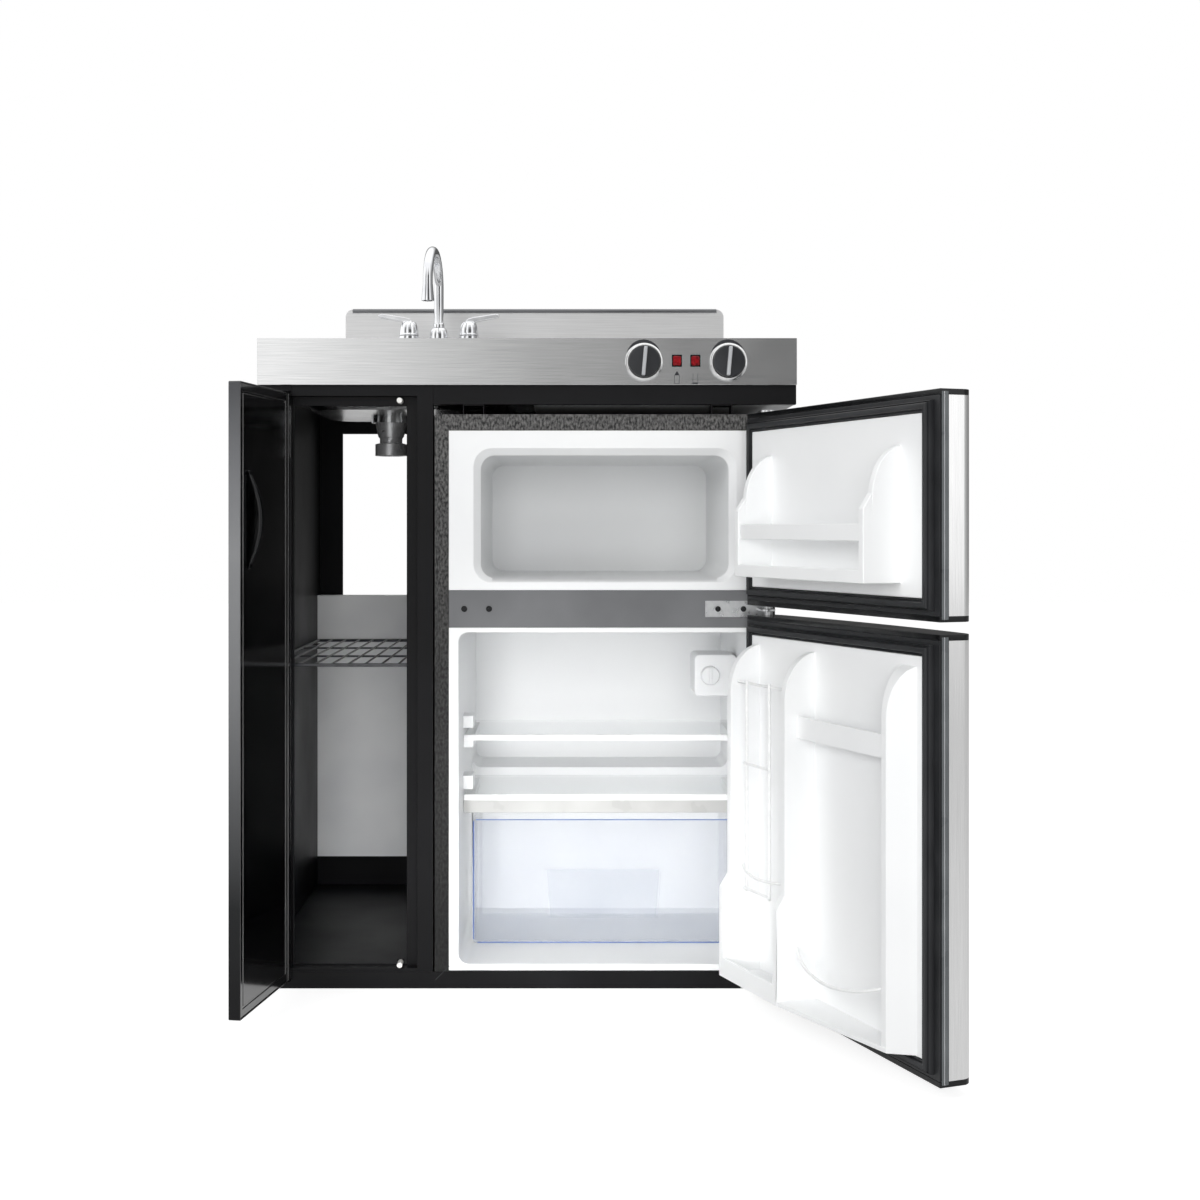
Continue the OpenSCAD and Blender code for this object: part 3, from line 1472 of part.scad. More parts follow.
module leaf_gasket(z0, z1) {
    ring_y(leaf_x0 + gasket_inset, leaf_x1 - gasket_inset, z0 + gasket_inset, z1 - gasket_inset,
           leaf_back, leaf_back + gasket_t, gasket_w, gasket_w);
}

// A wall on a door's liner, seen from the side: a rounded top and a deeper lower part
function wall_side(z0, z1, depth, knee) = let(r = depth - rack_step, h = rack_curve) concat(
    [[leaf_back, z0], [leaf_back + depth, z0], [leaf_back + depth, knee],
     [leaf_back + r, knee + 1.5 * rack_step]],
    [for (a = [0:7.5:90]) [leaf_back + r * cos(a), z1 - h + h * sin(a)]]
);

module rack_wall_at(x, z0, z1, depth, knee) {
    along_x(wall_side(z0, z1, depth, knee), x, x + rack_wall);
}

freezer_rack_x0 = freezer_x0 + 11;
freezer_rack_x1 = freezer_x1 - 0.3 * freezer_cav_r - 3;
freezer_rack_z0 = freezer_z0 + 6;
freezer_rack_z1 = freezer_z1 - 5;
fridge_rack_x0 = fridge_x0 + 4;
fridge_rack_x1 = fridge_x1 - 4;
fridge_rack_z0 = fridge_z0 + 7;
fridge_rack_z1 = fridge_z1 - 11;
freezer_knee = freezer_rack_z0 + 88;
fridge_knee = fridge_rack_z0 + 122;
can_x0 = fridge_rack_x1 - rack_wall - can_w;
bin_x0 = fridge_rack_x0 + edge_wall_slope + rack_wall;
bin_x1 = can_x0 - rack_wall;

// The wall at the fridge door's free edge, whose outer face slopes
module edge_wall() {
    top = fridge_rack_z1;
    d = edge_wall_d;
    intersection() {
        along_x(concat([[leaf_back, fridge_rack_z0], [leaf_back + d, fridge_rack_z0]],
                       [for (a = [0:7.5:90]) [leaf_back + d * cos(a), top - rack_curve
                                              + rack_curve * sin(a)]]),
                fridge_rack_x0, bin_x0);
        translate([0, 0, fridge_rack_z0]) linear_extrude(fridge_rack_z1 - fridge_rack_z0) polygon([
            [fridge_rack_x0, leaf_back], [bin_x0 - rack_wall, leaf_back + d],
            [bin_x0, leaf_back + d], [bin_x0, leaf_back]]);
    }
}

plate_t = 6;

// The flat of a door's liner: it stands inside the gasket and reaches into the frame
module liner_plate(z0, z1) {
    edge = gasket_inset + gasket_w + clearance;
    inner = frame_w + clearance;
    block(leaf_x0 + edge, leaf_x1 - edge, leaf_back, leaf_back + plate_t, z0 + edge, z1 - edge);
    block(leaf_x0 + inner, leaf_x1 - inner, leaf_back - liner_t, leaf_back + 1,
          z0 + inner, z1 - inner);
}

module freezer_door_liner() {
    d = freezer_rack_d;
    color("#f3f4f5") at_fridge_door() {
        liner_plate(freezer_leaf_z0, freezer_leaf_z1);
        for (x = [freezer_rack_x0, freezer_rack_x1 - rack_wall])
            rack_wall_at(x, freezer_rack_z0, freezer_rack_z1, d, freezer_knee);
        block(freezer_rack_x0, freezer_rack_x1, leaf_back, leaf_back + d, freezer_rack_z0,
              freezer_rack_z0 + 8);
        block(freezer_rack_x0, freezer_rack_x1, leaf_back + d - 5, leaf_back + d, freezer_rack_z0,
              freezer_rack_z0 + 16);
    }
}

module freezer_door_bar() {
    z0 = freezer_rack_z0 + 50;
    y1 = leaf_back + freezer_rack_d - 3;
    color("#f6f7f7") at_fridge_door() difference() {
        block(freezer_rack_x0 + rack_wall + clearance, freezer_rack_x1 - rack_wall - clearance, y1 - 12, y1,
              z0, z0 + bar_h);
        block(freezer_rack_x0 + rack_wall + 4, freezer_rack_x1 - rack_wall - 4, y1 - 13, y1 - 3,
              z0 - 1, z0 + bar_h + 1);
    }
}

module fridge_door_liner() {
    d = fridge_rack_d;
    z0 = fridge_rack_z0;
    tray_z = fridge_rack_z1 - 110;
    tray_d = edge_wall_d - 3;
    color("#f3f4f5") at_fridge_door() {
        liner_plate(fridge_leaf_z0, fridge_leaf_z1);
        for (x = [bin_x1, fridge_rack_x1 - rack_wall])
            rack_wall_at(x, z0, fridge_rack_z1, d, fridge_knee);
        edge_wall();
        // Floor of the can column and of the bottle bin
        block(bin_x1, fridge_rack_x1, leaf_back, leaf_back + d, z0, z0 + bin_floor);
        translate([0, 0, z0]) linear_extrude(bin_floor) polygon([
            [fridge_rack_x0, leaf_back], [bin_x0 - rack_wall, leaf_back + edge_wall_d],
            [bin_x1 + 1, leaf_back + d], [bin_x1 + 1, leaf_back]]);
        // Lip of the can column, and the small tray with its lip
        block(bin_x1, fridge_rack_x1, leaf_back + d - 4, leaf_back + d, z0, z0 + 26);
        block(bin_x0 - 1, bin_x1 + 1, leaf_back, leaf_back + tray_d, tray_z, tray_z + 4);
        block(bin_x0 - 1, bin_x1 + 1, leaf_back + tray_d - 3, leaf_back + tray_d,
              tray_z, tray_z + 28);
    }
}

bin_floor = 6;

// A wire from x0 to x1 that bows out by sag, in a plane tipped down by tilt
module bowed_wire(x0, x1, y, z, sag, tilt, d) {
    half = (x1 - x0) / 2;
    r = (half * half + sag * sag) / (2 * sag);
    a = asin(half / r);
    translate([(x0 + x1) / 2, y, z]) rotate([-tilt, 0, 0]) translate([0, sag - r, 0])
        rotate([0, 0, 90 - a]) rotate_extrude(angle = 2 * a) translate([r, 0]) circle(d = d);
}

module door_wire_guards() {
    d = guard_wire;
    y = leaf_back + fridge_rack_d - rack_step - d - 6;
    gap = 2.5 * clearance;
    x0 = can_x0 + gap;
    x1 = fridge_rack_x1 - rack_wall - gap;
    z0 = fridge_rack_z0 + 121;
    z1 = fridge_rack_z1 - 46;
    bars = [x1 - 28, x1 - 92];
    color("#f4f5f5") at_fridge_door() {
        // The can guard: two uprights and the wires across them
        for (x = bars) rod([x, y, z0], [x, y, z1], d);
        for (z = [z0 + d, z0 + 172])
            rod([bars[1] - d, y + 0.4 * d, z], [bars[0] + d, y + 0.4 * d, z], d * 0.9);
        rod([x0, y - 0.4 * d, z1 - d], [x1, y - 0.4 * d, z1 - d], d * 0.9);
        bowed_wire(x0, x1, y - 9, z0 + 30, 16, 20, d * 0.9);
        // The bottle guard between its two walls
        bowed_wire(bin_x0 + gap, bin_x1 - gap, leaf_back + edge_wall_d - 2,
                   fridge_rack_z0 + 72, 26, 45, d);
    }
}

module freezer_door_skin() {
    color("#c7c9cb") at_fridge_door() leaf_skin(freezer_leaf_z0, freezer_leaf_z1);
}

module freezer_door_caps() {
    color("#101011") at_fridge_door() leaf_caps(freezer_leaf_z0, freezer_leaf_z1);
}

module freezer_door_frame() {
    color("#5d5f63") at_fridge_door() leaf_frame(freezer_leaf_z0, freezer_leaf_z1);
}

module freezer_door_gasket() {
    color("#38383a") at_fridge_door() leaf_gasket(freezer_leaf_z0, freezer_leaf_z1);
}

module freezer_door_core() {
    color("#e6dfb8") at_fridge_door() leaf_core(freezer_leaf_z0, freezer_leaf_z1);
}

module fridge_door_skin() {
    color("#c7c9cb") at_fridge_door() leaf_skin(fridge_leaf_z0, fridge_leaf_z1);
}

module fridge_door_caps() {
    color("#101011") at_fridge_door() leaf_caps(fridge_leaf_z0, fridge_leaf_z1);
}

module fridge_door_frame() {
    color("#5d5f63") at_fridge_door() leaf_frame(fridge_leaf_z0, fridge_leaf_z1);
}

module fridge_door_gasket() {
    color("#38383a") at_fridge_door() leaf_gasket(fridge_leaf_z0, fridge_leaf_z1);
}

module fridge_door_core() {
    color("#e6dfb8") at_fridge_door() leaf_core(fridge_leaf_z0, fridge_leaf_z1);
}

base_pan();
left_side_panel();
divider_panel();
face_frame();
door_bumpers();
storage_floor();
storage_back_panel();
rear_rail();
front_rail();
wiring_box();
wire_shelf();
worktop();
backsplash();
sink_bowl();
strainer_body();
lock_nuts();
faucet_base();
drip_bowls();
front_element();
rear_element();
element_supports();
element_receptacles();
heat_switches();
indicator_lights();
fridge_case();
fridge_foam();
freezer_liner();
fridge_liner();
mullion();
hinge_brackets();
hinge_screws();
upper_shelf();
crisper_cover();
thermostat_housing();
compressor();
condenser();
storage_door();
storage_door_handle();
freezer_door_skin();
freezer_door_caps();
freezer_door_frame();
freezer_door_gasket();
freezer_door_core();
freezer_door_liner();
freezer_door_bar();
fridge_door_skin();
fridge_door_caps();
fridge_door_frame();
fridge_door_gasket();
fridge_door_core();
fridge_door_liner();
door_wire_guards();
left_knob();
right_knob();
spout();
hot_handle();
cold_handle();
strainer_basket();
thermostat_dial();
crisper_drawer();
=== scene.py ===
import json
import math

import bpy
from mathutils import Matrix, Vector

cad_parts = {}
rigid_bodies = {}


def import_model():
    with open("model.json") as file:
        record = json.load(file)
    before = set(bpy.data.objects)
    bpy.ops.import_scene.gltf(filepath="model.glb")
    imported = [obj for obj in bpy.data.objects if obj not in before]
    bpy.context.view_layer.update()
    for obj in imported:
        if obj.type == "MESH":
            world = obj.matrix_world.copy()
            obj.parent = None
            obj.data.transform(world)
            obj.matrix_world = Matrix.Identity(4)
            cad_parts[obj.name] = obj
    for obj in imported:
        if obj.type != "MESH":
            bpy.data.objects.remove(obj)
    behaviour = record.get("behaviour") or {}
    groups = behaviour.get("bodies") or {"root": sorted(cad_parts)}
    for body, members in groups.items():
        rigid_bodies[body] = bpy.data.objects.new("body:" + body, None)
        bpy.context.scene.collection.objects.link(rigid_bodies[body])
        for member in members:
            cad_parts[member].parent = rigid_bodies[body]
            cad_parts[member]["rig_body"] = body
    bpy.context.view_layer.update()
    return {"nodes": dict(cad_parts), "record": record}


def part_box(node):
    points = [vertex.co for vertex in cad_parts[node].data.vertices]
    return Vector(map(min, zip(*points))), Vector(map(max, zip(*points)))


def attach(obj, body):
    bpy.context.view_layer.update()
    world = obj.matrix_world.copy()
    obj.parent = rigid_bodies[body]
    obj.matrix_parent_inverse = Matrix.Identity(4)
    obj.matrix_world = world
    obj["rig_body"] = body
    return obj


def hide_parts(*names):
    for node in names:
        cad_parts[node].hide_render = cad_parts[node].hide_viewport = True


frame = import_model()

MM = 0.001
slot_of = {part["node"]: part["material_slot"] for part in frame["record"]["subparts"]}

# Places that the CAD sets, in millimetres and degrees
FRONT_Y = -305                                  # face of the apron
FLANGE_Y = -297                                 # face of the fridge case's front flange
KNOB_Z = 886
LAMPS_X, LAMPS_Z = (211.5, 237.5), 888          # middles of the two red lenses
STORAGE_PIN, STORAGE_SWING = (-341, -308, 0), 99
STORAGE_EDGE_X = -137                           # the storage door's free edge, door shut
LEAF_PIN, LEAF_SWING = (336, -332, 0), 111      # the fridge's two doors turn on one line
LEAF_X0, LEAF_X1, LEAF_BACK = -127, 351, -308   # their sides and back, doors shut
LEAVES = {"freezer_door": (544.5, 811), "fridge_door": (15, 530.5)}


# ---- Tools for materials ----

def colour(code):
    """A linear colour from an sRGB hex value."""
    parts = [int(code[i:i + 2], 16) / 255 for i in (1, 3, 5)]
    return [c / 12.92 if c <= 0.04045 else ((c + 0.055) / 1.055) ** 2.4 for c in parts] + [1.0]


def add(tree, kind, sockets=None, **settings):
    """One node, with its settings, its socket values, and a link where a value is a socket."""
    node = tree.nodes.new(kind)
    for name, value in settings.items():
        setattr(node, name, value)
    for name, value in (sockets or {}).items():
        if isinstance(value, bpy.types.NodeSocket):
            tree.links.new(value, node.inputs[name])
        else:
            node.inputs[name].default_value = value
    return node


def finish(name, code, roughness, metallic=0.0, **more):
    """A material with its plain colour and gloss; grain() then gives it its surface."""
    material = bpy.data.materials.new(name)
    material.use_nodes = True
    tree = material.node_tree
    tree.nodes.clear()
    values = {"Base Color": colour(code), "Roughness": roughness, "Metallic": metallic}
    values.update({key.replace("_", " "): value for key, value in more.items()})
    shader = add(tree, "ShaderNodeBsdfPrincipled", values)
    add(tree, "ShaderNodeOutputMaterial", {"Surface": shader.outputs[0]})
    return material


def shader_of(material):
    return next(n for n in material.node_tree.nodes if n.type == "BSDF_PRINCIPLED")


def set_stops(ramp, stops):
    """Give a colour ramp its stops, each a place and a linear colour, in their order."""
    elements = ramp.color_ramp.elements
    while len(elements) < len(stops):
        elements.new(0.5)
    for element, (place, shade) in zip(elements, stops):
        element.position = place
        element.color = shade


def grain(material, size, stretch=(1, 1, 1), tints=None, gloss=None, relief=0.0, cells=False,
          detail=3.0, spread=(0.3, 0.7)):
    """A grain of that size in millimetres, longer along an axis by its stretch. It blends
    two tints, varies the roughness, and raises the surface by the relief in millimetres."""
    tree = material.node_tree
    shader = shader_of(material)
    place = add(tree, "ShaderNodeTexCoord")
    scale = [1 / (size * MM * s) for s in stretch]
    mapped = add(tree, "ShaderNodeMapping", {"Vector": place.outputs["Object"], "Scale": scale})
    if cells:
        pattern = add(tree, "ShaderNodeTexVoronoi", {"Vector": mapped.outputs[0], "Scale": 1.0},
                      feature="SMOOTH_F1")
    else:
        pattern = add(tree, "ShaderNodeTexNoise",
                      {"Vector": mapped.outputs[0], "Scale": 1.0, "Detail": detail})
    value = pattern.outputs[0]
    if tints:
        ramp = add(tree, "ShaderNodeValToRGB", {0: value})
        set_stops(ramp, [(at, colour(code)) for at, code in zip(spread, tints)])
        tree.links.new(ramp.outputs[0], shader.inputs["Base Color"])
    if gloss:
        rough = add(tree, "ShaderNodeMapRange", {0: value, 1: spread[0], 2: spread[1],
                                                 3: gloss[0], 4: gloss[1]})
        tree.links.new(rough.outputs[0], shader.inputs["Roughness"])
    if relief:
        bump = add(tree, "ShaderNodeBump", {"Height": value, "Distance": relief * MM})
        before = shader.inputs["Normal"]
        if before.is_linked:
            tree.links.new(before.links[0].from_socket, bump.inputs["Normal"])
        tree.links.new(bump.outputs[0], before)
    return material


def paint_light_by_height(material, stops):
    """Painted light and shade up the height of the unit: pairs of height in metres and hex value.
    """
    tree = material.node_tree
    base = shader_of(material).inputs["Base Color"]
    place = add(tree, "ShaderNodeTexCoord")
    parts = add(tree, "ShaderNodeSeparateXYZ", {0: place.outputs["Object"]})
    ramp = add(tree, "ShaderNodeValToRGB", {0: parts.outputs["Z"]})
    set_stops(ramp, [(height, colour(code)) for height, code in stops])
    shaded = add(tree, "ShaderNodeMix", {0: 1.0, 6: base.links[0].from_socket,
                                         7: ramp.outputs[0]},
                 data_type="RGBA", blend_type="MULTIPLY")
    tree.links.new(shaded.outputs[2], base)
    return material


# ---- Materials ----

def brushed_stainless(name, stretch, rough, code="#dedfdf", tints=("#d2d3d3", "#e6e6e6")):
    """304 stainless sheet, belt-brushed: fine straight lines that smear its reflections.
    The real lines are a few hundredths of a millimetre apart; these are 0.5 mm to show."""
    steel = finish(name, code, rough, 1.0)
    grain(steel, 0.5, stretch, tints, relief=0.01, detail=2)
    return grain(steel, 140, gloss=(rough - 0.03, rough + 0.04), detail=2)


def polished_chrome():
    """Chrome plate over brass, buffed: a mirror with only faint wipe marks."""
    plate = finish("polished_chrome", "#dfe0e2", 0.06, 1.0)
    return grain(plate, 22, tints=("#d3d4d7", "#e6e7e8"), gloss=(0.04, 0.1), detail=4)


def satin_nickel():
    """Drawn brass under satin nickel plate, with the dull bloom of handled metal."""
    plate = finish("satin_nickel", "#d4d5d6", 0.34, 0.72)
    return grain(plate, 12, tints=("#c6c7c9", "#e0e0e1"), gloss=(0.26, 0.42), detail=3)


def powder_coat(name, code, light, rough):
    """Powder-coated steel sheet: satin, with a fine orange peel about a millimetre across."""
    coat = finish(name, code, rough, Specular_IOR_Level=0.2)
    grain(coat, 1.6, relief=0.03, detail=1)
    return grain(coat, 160, tints=(code, light), gloss=(rough - 0.06, rough + 0.06), detail=3)


def gloss_lacquer():
    """Black enamel, stoved and glossy, with a slow ripple: it mirrors what is close by."""
    enamel = finish("black_gloss_enamel", "#070708", 0.14, Specular_IOR_Level=0.9,
                    Coat_Weight=1.0, Coat_Roughness=0.1, Coat_IOR=1.9)
    return grain(enamel, 60, tints=("#060607", "#0b0b0c"), gloss=(0.1, 0.2), detail=1)


def crinkled_steel_painted_light():
    """Prepainted steel embossed with a pebble grain: wrinkles 2 to 5 mm long that run
    upright. Their crests catch the light through the relief and carry a painted highlight too,
    and painted light and shade make the sheet darker towards its foot, lighter towards its top."""
    sheet = finish("embossed_steel_painted_light", "#3a3b3d", 0.45)
    # Painted highlight: the noise that raises the crests also tints them lighter and the hollows
    # darker
    grain(sheet, 3.0, (1.0, 1.0, 1.9), tints=("#0b0b0c", "#6b6a69"), relief=0.8, detail=2,
          spread=(0.36, 0.66))
    grain(sheet, 60, gloss=(0.36, 0.52), detail=2)
    # Painted light and shade: darker towards the foot of the unit, lighter towards its top
    return paint_light_by_height(sheet, [(0.1, "#505050"), (0.45, "#909090"), (0.8, "#ffffff")])


def grey_primer():
    """Pre-painted grey sheet for what nobody looks at: flat, even, slightly chalky."""
    paint = finish("grey_painted_sheet", "#e4e5e6", 0.5, Specular_IOR_Level=0.3)
    grain(paint, 2.2, relief=0.03, detail=2)
    return grain(paint, 130, tints=("#dcdddf", "#ebecec"), gloss=(0.44, 0.56), detail=2)


def zinc_plate():
    """Bright zinc-plated pressed steel: silvery, with soft blotches from the bath."""
    plate = finish("zinc_plate", "#e4e5e7", 0.3, 1.0)
    return grain(plate, 9, tints=("#dcdee0", "#eeeff0"), gloss=(0.24, 0.36), detail=4)


def epoxy_wire(name, code, light):
    """Steel wire dipped in epoxy or vinyl: smooth, a little thick, softly glossy."""
    wire = finish(name, code, 0.3, Coat_Weight=0.4, Coat_Roughness=0.15)
    return grain(wire, 9, tints=(code, light), relief=0.02, detail=2)


def oxide_screws():
    """Black-oxide machine screws: dark and oily, a little bare steel on the crests."""
    screw = finish("black_oxide", "#1d1d1f", 0.38, 0.7)
    return grain(screw, 1.2, tints=("#141415", "#3a3a3c"), gloss=(0.3, 0.5))


def heating_sheath():
    """Nickel-alloy heater sheath, blackened by heat: matt, faintly brown in patches."""
    sheath = finish("oxidised_sheath", "#262525", 0.55, 0.35)
    grain(sheath, 0.8, relief=0.03, detail=2)
    return grain(sheath, 26, tints=("#1d1d1e", "#3a3532"), gloss=(0.45, 0.62), detail=3)


def fired_ceramic():
    """Unglazed steatite: cream, chalky, with a fine pressed grain."""
    clay = finish("steatite", "#ddd6c6", 0.75)
    return grain(clay, 1.5, tints=("#d2cab8", "#e6e0d2"), relief=0.05, detail=4)


def red_lens():
    """Red polycarbonate lens: clear, deep colour under a hard gloss."""
    lens = finish("red_polycarbonate", "#8e0614", 0.16, Specular_IOR_Level=0.2,
                  Coat_Weight=0.12, Coat_Roughness=0.06)
    return grain(lens, 5, tints=("#5e030c", "#a00a17"), detail=1)


def rigid_foam():
    """Blown polyurethane foam: straw yellow, with cells a millimetre across."""
    foam = finish("rigid_foam", "#d9c88f", 0.85)
    return grain(foam, 1.4, tints=("#cbb878", "#e4d7a6"), relief=0.4, cells=True)


def vacuum_formed_white():
    """High-impact polystyrene sheet, vacuum formed: clean white, satin, barely rippled."""
    sheet = finish("white_polystyrene", "#f4f5f6", 0.34)
    grain(sheet, 18, relief=0.12, detail=1)
    return grain(sheet, 240, tints=("#f1f2f3", "#f7f8f8"), gloss=(0.28, 0.38), detail=2)


def moulded_abs(name, code, light, rough, size=0.9, relief=0.03):
    """Injection-moulded ABS with a fine spark-eroded grain."""
    abs_part = finish(name, code, rough, Specular_IOR_Level=0.35)
    grain(abs_part, size, relief=relief, detail=2)
    return grain(abs_part, 45, tints=(code, light), gloss=(max(rough - 0.05, 0.05), rough + 0.05),
                 detail=2)


def magnetic_gasket():
    """Plasticised PVC profile over a magnet strip: soft, dark grey and nearly matt."""
    seal = finish("pvc_gasket", "#242527", 0.45, Specular_IOR_Level=0.35)
    grain(seal, 2.5, relief=0.04, detail=2)
    return grain(seal, 60, tints=("#1f2022", "#2c2d2f"), gloss=(0.38, 0.52), detail=2)


def see_through(name, code, solid, rough):
    """A thin clear sheet: light passes it face-on, and its colour gathers edge-on. The pair
    solid is how solid it looks face-on and at its most slanted."""
    sheet = finish(name, code, rough, Specular_IOR_Level=0.7)
    tree = sheet.node_tree
    slant = add(tree, "ShaderNodeLayerWeight", {"Blend": 0.35})
    depth = add(tree, "ShaderNodeMapRange", {0: slant.outputs["Facing"], 1: 0.0, 2: 1.0,
                                             3: solid[0], 4: solid[1]})
    tree.links.new(depth.outputs[0], shader_of(sheet).inputs["Alpha"])
    return sheet


def tempered_glass():
    """Tempered soda-lime glass, 4 mm: clear, faintly green through its edge."""
    glass = see_through("tempered_glass", "#e8f0ee", (0.05, 0.3), 0.05)
    return grain(glass, 120, tints=("#e2ece9", "#edf3f1"), detail=1)


def clear_polystyrene_painted_shade():
    """Crystal polystyrene, moulded: clear, with a blue tint darkened into painted shade, which
    each wall adds to.
    """
    # Painted shade: the grey-blue colour darkens the drawer as the shadows it no longer casts
    # would
    clear = see_through("crystal_polystyrene_painted_shade", "#a6acb8", (0.15, 0.5), 0.06)
    return grain(clear, 70, tints=("#9ea5b3", "#aeb4bf"), gloss=(0.03, 0.09), detail=1)


worktop_steel = brushed_stainless("brushed_stainless_level", (140, 60, 1), 0.2)
splash_steel = brushed_stainless("brushed_stainless_splash", (140, 60, 1), 0.46, "#f0f0f0",
                                 ("#e8e8e8", "#f5f5f5"))
bead_steel = brushed_stainless("rolled_edge_steel", (140, 1, 1), 0.3, "#7c7d7f",
                               ("#727375", "#868789"))
door_steel = brushed_stainless("brushed_stainless_upright", (1, 1, 140), 0.2, "#f2f2f2",
                               ("#eaeaea", "#f7f7f7"))
chrome = polished_chrome()
black_coat = powder_coat("black_powder_coat", "#0d0d0e", "#141416", 0.42)
door_gloss = gloss_lacquer()
# Painted sheen: the storage door's edge is lightest about 0.6 m up, and dark towards its foot and
# top
door_edge_painted_sheen = paint_light_by_height(powder_coat("edge_paint_with_painted_sheen", "#e6e6e7", "#f2f2f3", 0.4),
                 [(0.05, "#181819"), (0.16, "#212223"), (0.3, "#575859"), (0.45, "#7a7b7c"),
                  (0.62, "#8a8b8c"), (0.72, "#747577"), (0.83, "#4f5052")])
FINISHES = {
    "stainless_steel": worktop_steel,
    "chrome": chrome,
    "black_steel": black_coat,
    "textured_steel": crinkled_steel_painted_light(),
    "grey_steel": grey_primer(),
    "shelf_wire": epoxy_wire("grey_epoxy_wire", "#2f3033", "#414246"),
    "zinc_steel": zinc_plate(),
    "dark_screws": oxide_screws(),
    "heating_tube": heating_sheath(),
    "ceramic_block": fired_ceramic(),
    "red_lens": red_lens(),
    "foam": rigid_foam(),
    "white_liner": vacuum_formed_white(),
    "coated_wire": epoxy_wire("white_vinyl_wire", "#eeefef", "#f8f8f8"),
    "charcoal_plastic": moulded_abs("charcoal_abs", "#1d1e20", "#27282a", 0.36),
    "black_plastic": moulded_abs("gloss_black_abs", "#0c0d0e", "#141517", 0.16, 30, 0.02),
    "gasket_rubber": magnetic_gasket(),
    "shelf_glass": tempered_glass(),
    "clear_plastic": clear_polystyrene_painted_shade(),
    "knob_plastic": moulded_abs("knob_abs", "#262729", "#303134", 0.34),
    "bumper_rubber": moulded_abs("white_nylon", "#ecebe7", "#f6f5f2", 0.4),
}
mullion_paint = powder_coat("mullion_paint", "#68696b", "#7e7f81", 0.34)
blue_edge = moulded_abs("blue_tinted_rim", "#4f68a8", "#6b84c0", 0.12)
fascia_white = moulded_abs("fascia_white", "#b8b8b6", "#c2c2c0", 0.3)
trim_white = moulded_abs("white_trim", "#f2f3f4", "#f8f8f8", 0.3)
knob_metal = brushed_stainless("turned_aluminium_ring", (6, 1, 6), 0.2)
# These greys also make the strips on the doors' free edges, partly a painted highlight; the
# lighter one is also the knobs' grips
grip_grey_and_painted_highlight = moulded_abs("grip_abs_and_painted_highlight", "#a9abae", "#bcbec0", 0.3)
ribbed_trim_and_painted_highlight = moulded_abs("grey_trim_with_painted_highlight", "#5c6062", "#6c7072", 0.3)
# Dark ink for the printed marks and the flange's cuts, and for the painted reflection above the
# knobs
ink_and_painted_reflection = finish("ink_with_painted_reflection", "#26272a", 0.5)
grain(ink_and_painted_reflection, 0.6, tints=("#202124", "#303135"))


# ---- Tools for pieces ----

def only(piece):
    """Select this piece alone."""
    bpy.ops.object.select_all(action="DESELECT")
    piece.select_set(True)
    bpy.context.view_layer.objects.active = piece


def settle(piece, body, slot, material, *hidden):
    """Give a finished piece its material, its body and the CAD nodes it stands for."""
    piece.data.materials.clear()
    piece.data.materials.append(material)
    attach(piece, body)
    if hidden:
        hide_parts(*hidden)
    return piece


def soften(piece, edge, rounds=2, angle=32):
    """Round the edges by that many millimetres, then shade curves smooth and flats flat."""
    only(piece)
    if edge:
        bevel = piece.modifiers.new("rounding", "BEVEL")
        bevel.width = edge * MM
        bevel.segments = rounds
        bevel.limit_method = "ANGLE"
        bevel.angle_limit = math.radians(angle)
        bevel.use_clamp_overlap = False
        bpy.ops.object.modifier_apply(modifier=bevel.name)
    bpy.ops.object.shade_smooth_by_angle(angle=math.radians(angle))
    weighted = piece.modifiers.new("flats", "WEIGHTED_NORMAL")
    weighted.keep_sharp = True
    bpy.ops.object.modifier_apply(modifier=weighted.name)
    return piece


WELD = 0.01 * MM        # points closer than this are one
# The flats of these have notches, which one large face can't hold through a bevel
KEEP_TRIANGLES = ("freezer_liner", "fridge_liner", "fridge_door_liner")


def eased(node, edge, rounds, angle, material):
    """A merged copy of a CAD node with its edges eased and its curves smooth."""
    source = frame["nodes"][node]
    piece = bpy.data.objects.new(node + "_eased", source.data.copy())
    bpy.context.collection.objects.link(piece)
    only(piece)
    bpy.ops.object.mode_set(mode="EDIT")
    bpy.ops.mesh.select_all(action="SELECT")
    bpy.ops.mesh.remove_doubles(threshold=WELD)
    if node not in KEEP_TRIANGLES:
        bpy.ops.mesh.dissolve_limited(angle_limit=math.radians(0.4))
    bpy.ops.object.mode_set(mode="OBJECT")
    soften(piece, edge, rounds, angle)
    return settle(piece, source["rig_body"], slot_of[node], material, node)


def turned(name, profile, at, axis=(0, 0, 1), steps=72):
    """A turned piece: a profile of radius and height in millimetres, spun about an axis."""
    axis = Vector(axis)
    side = Vector((0, 0, 1)) if axis.x else Vector((1, 0, 0))
    centre = Vector(at) * MM
    points = [centre + (side * r + axis * h) * MM for r, h in profile]
    mesh = bpy.data.meshes.new(name)
    mesh.from_pydata(points, [(i, i + 1) for i in range(len(points) - 1)], [])
    piece = bpy.data.objects.new(name, mesh)
    bpy.context.collection.objects.link(piece)
    only(piece)
    bpy.ops.object.mode_set(mode="EDIT")
    bpy.ops.mesh.select_all(action="SELECT")
    bpy.ops.mesh.spin(steps=steps, angle=math.tau, center=centre, axis=axis, dupli=False)
    bpy.ops.mesh.select_all(action="SELECT")
    bpy.ops.mesh.remove_doubles(threshold=WELD)
    bpy.ops.mesh.normals_make_consistent(inside=False)
    bpy.ops.object.mode_set(mode="OBJECT")
    return soften(piece, 0)


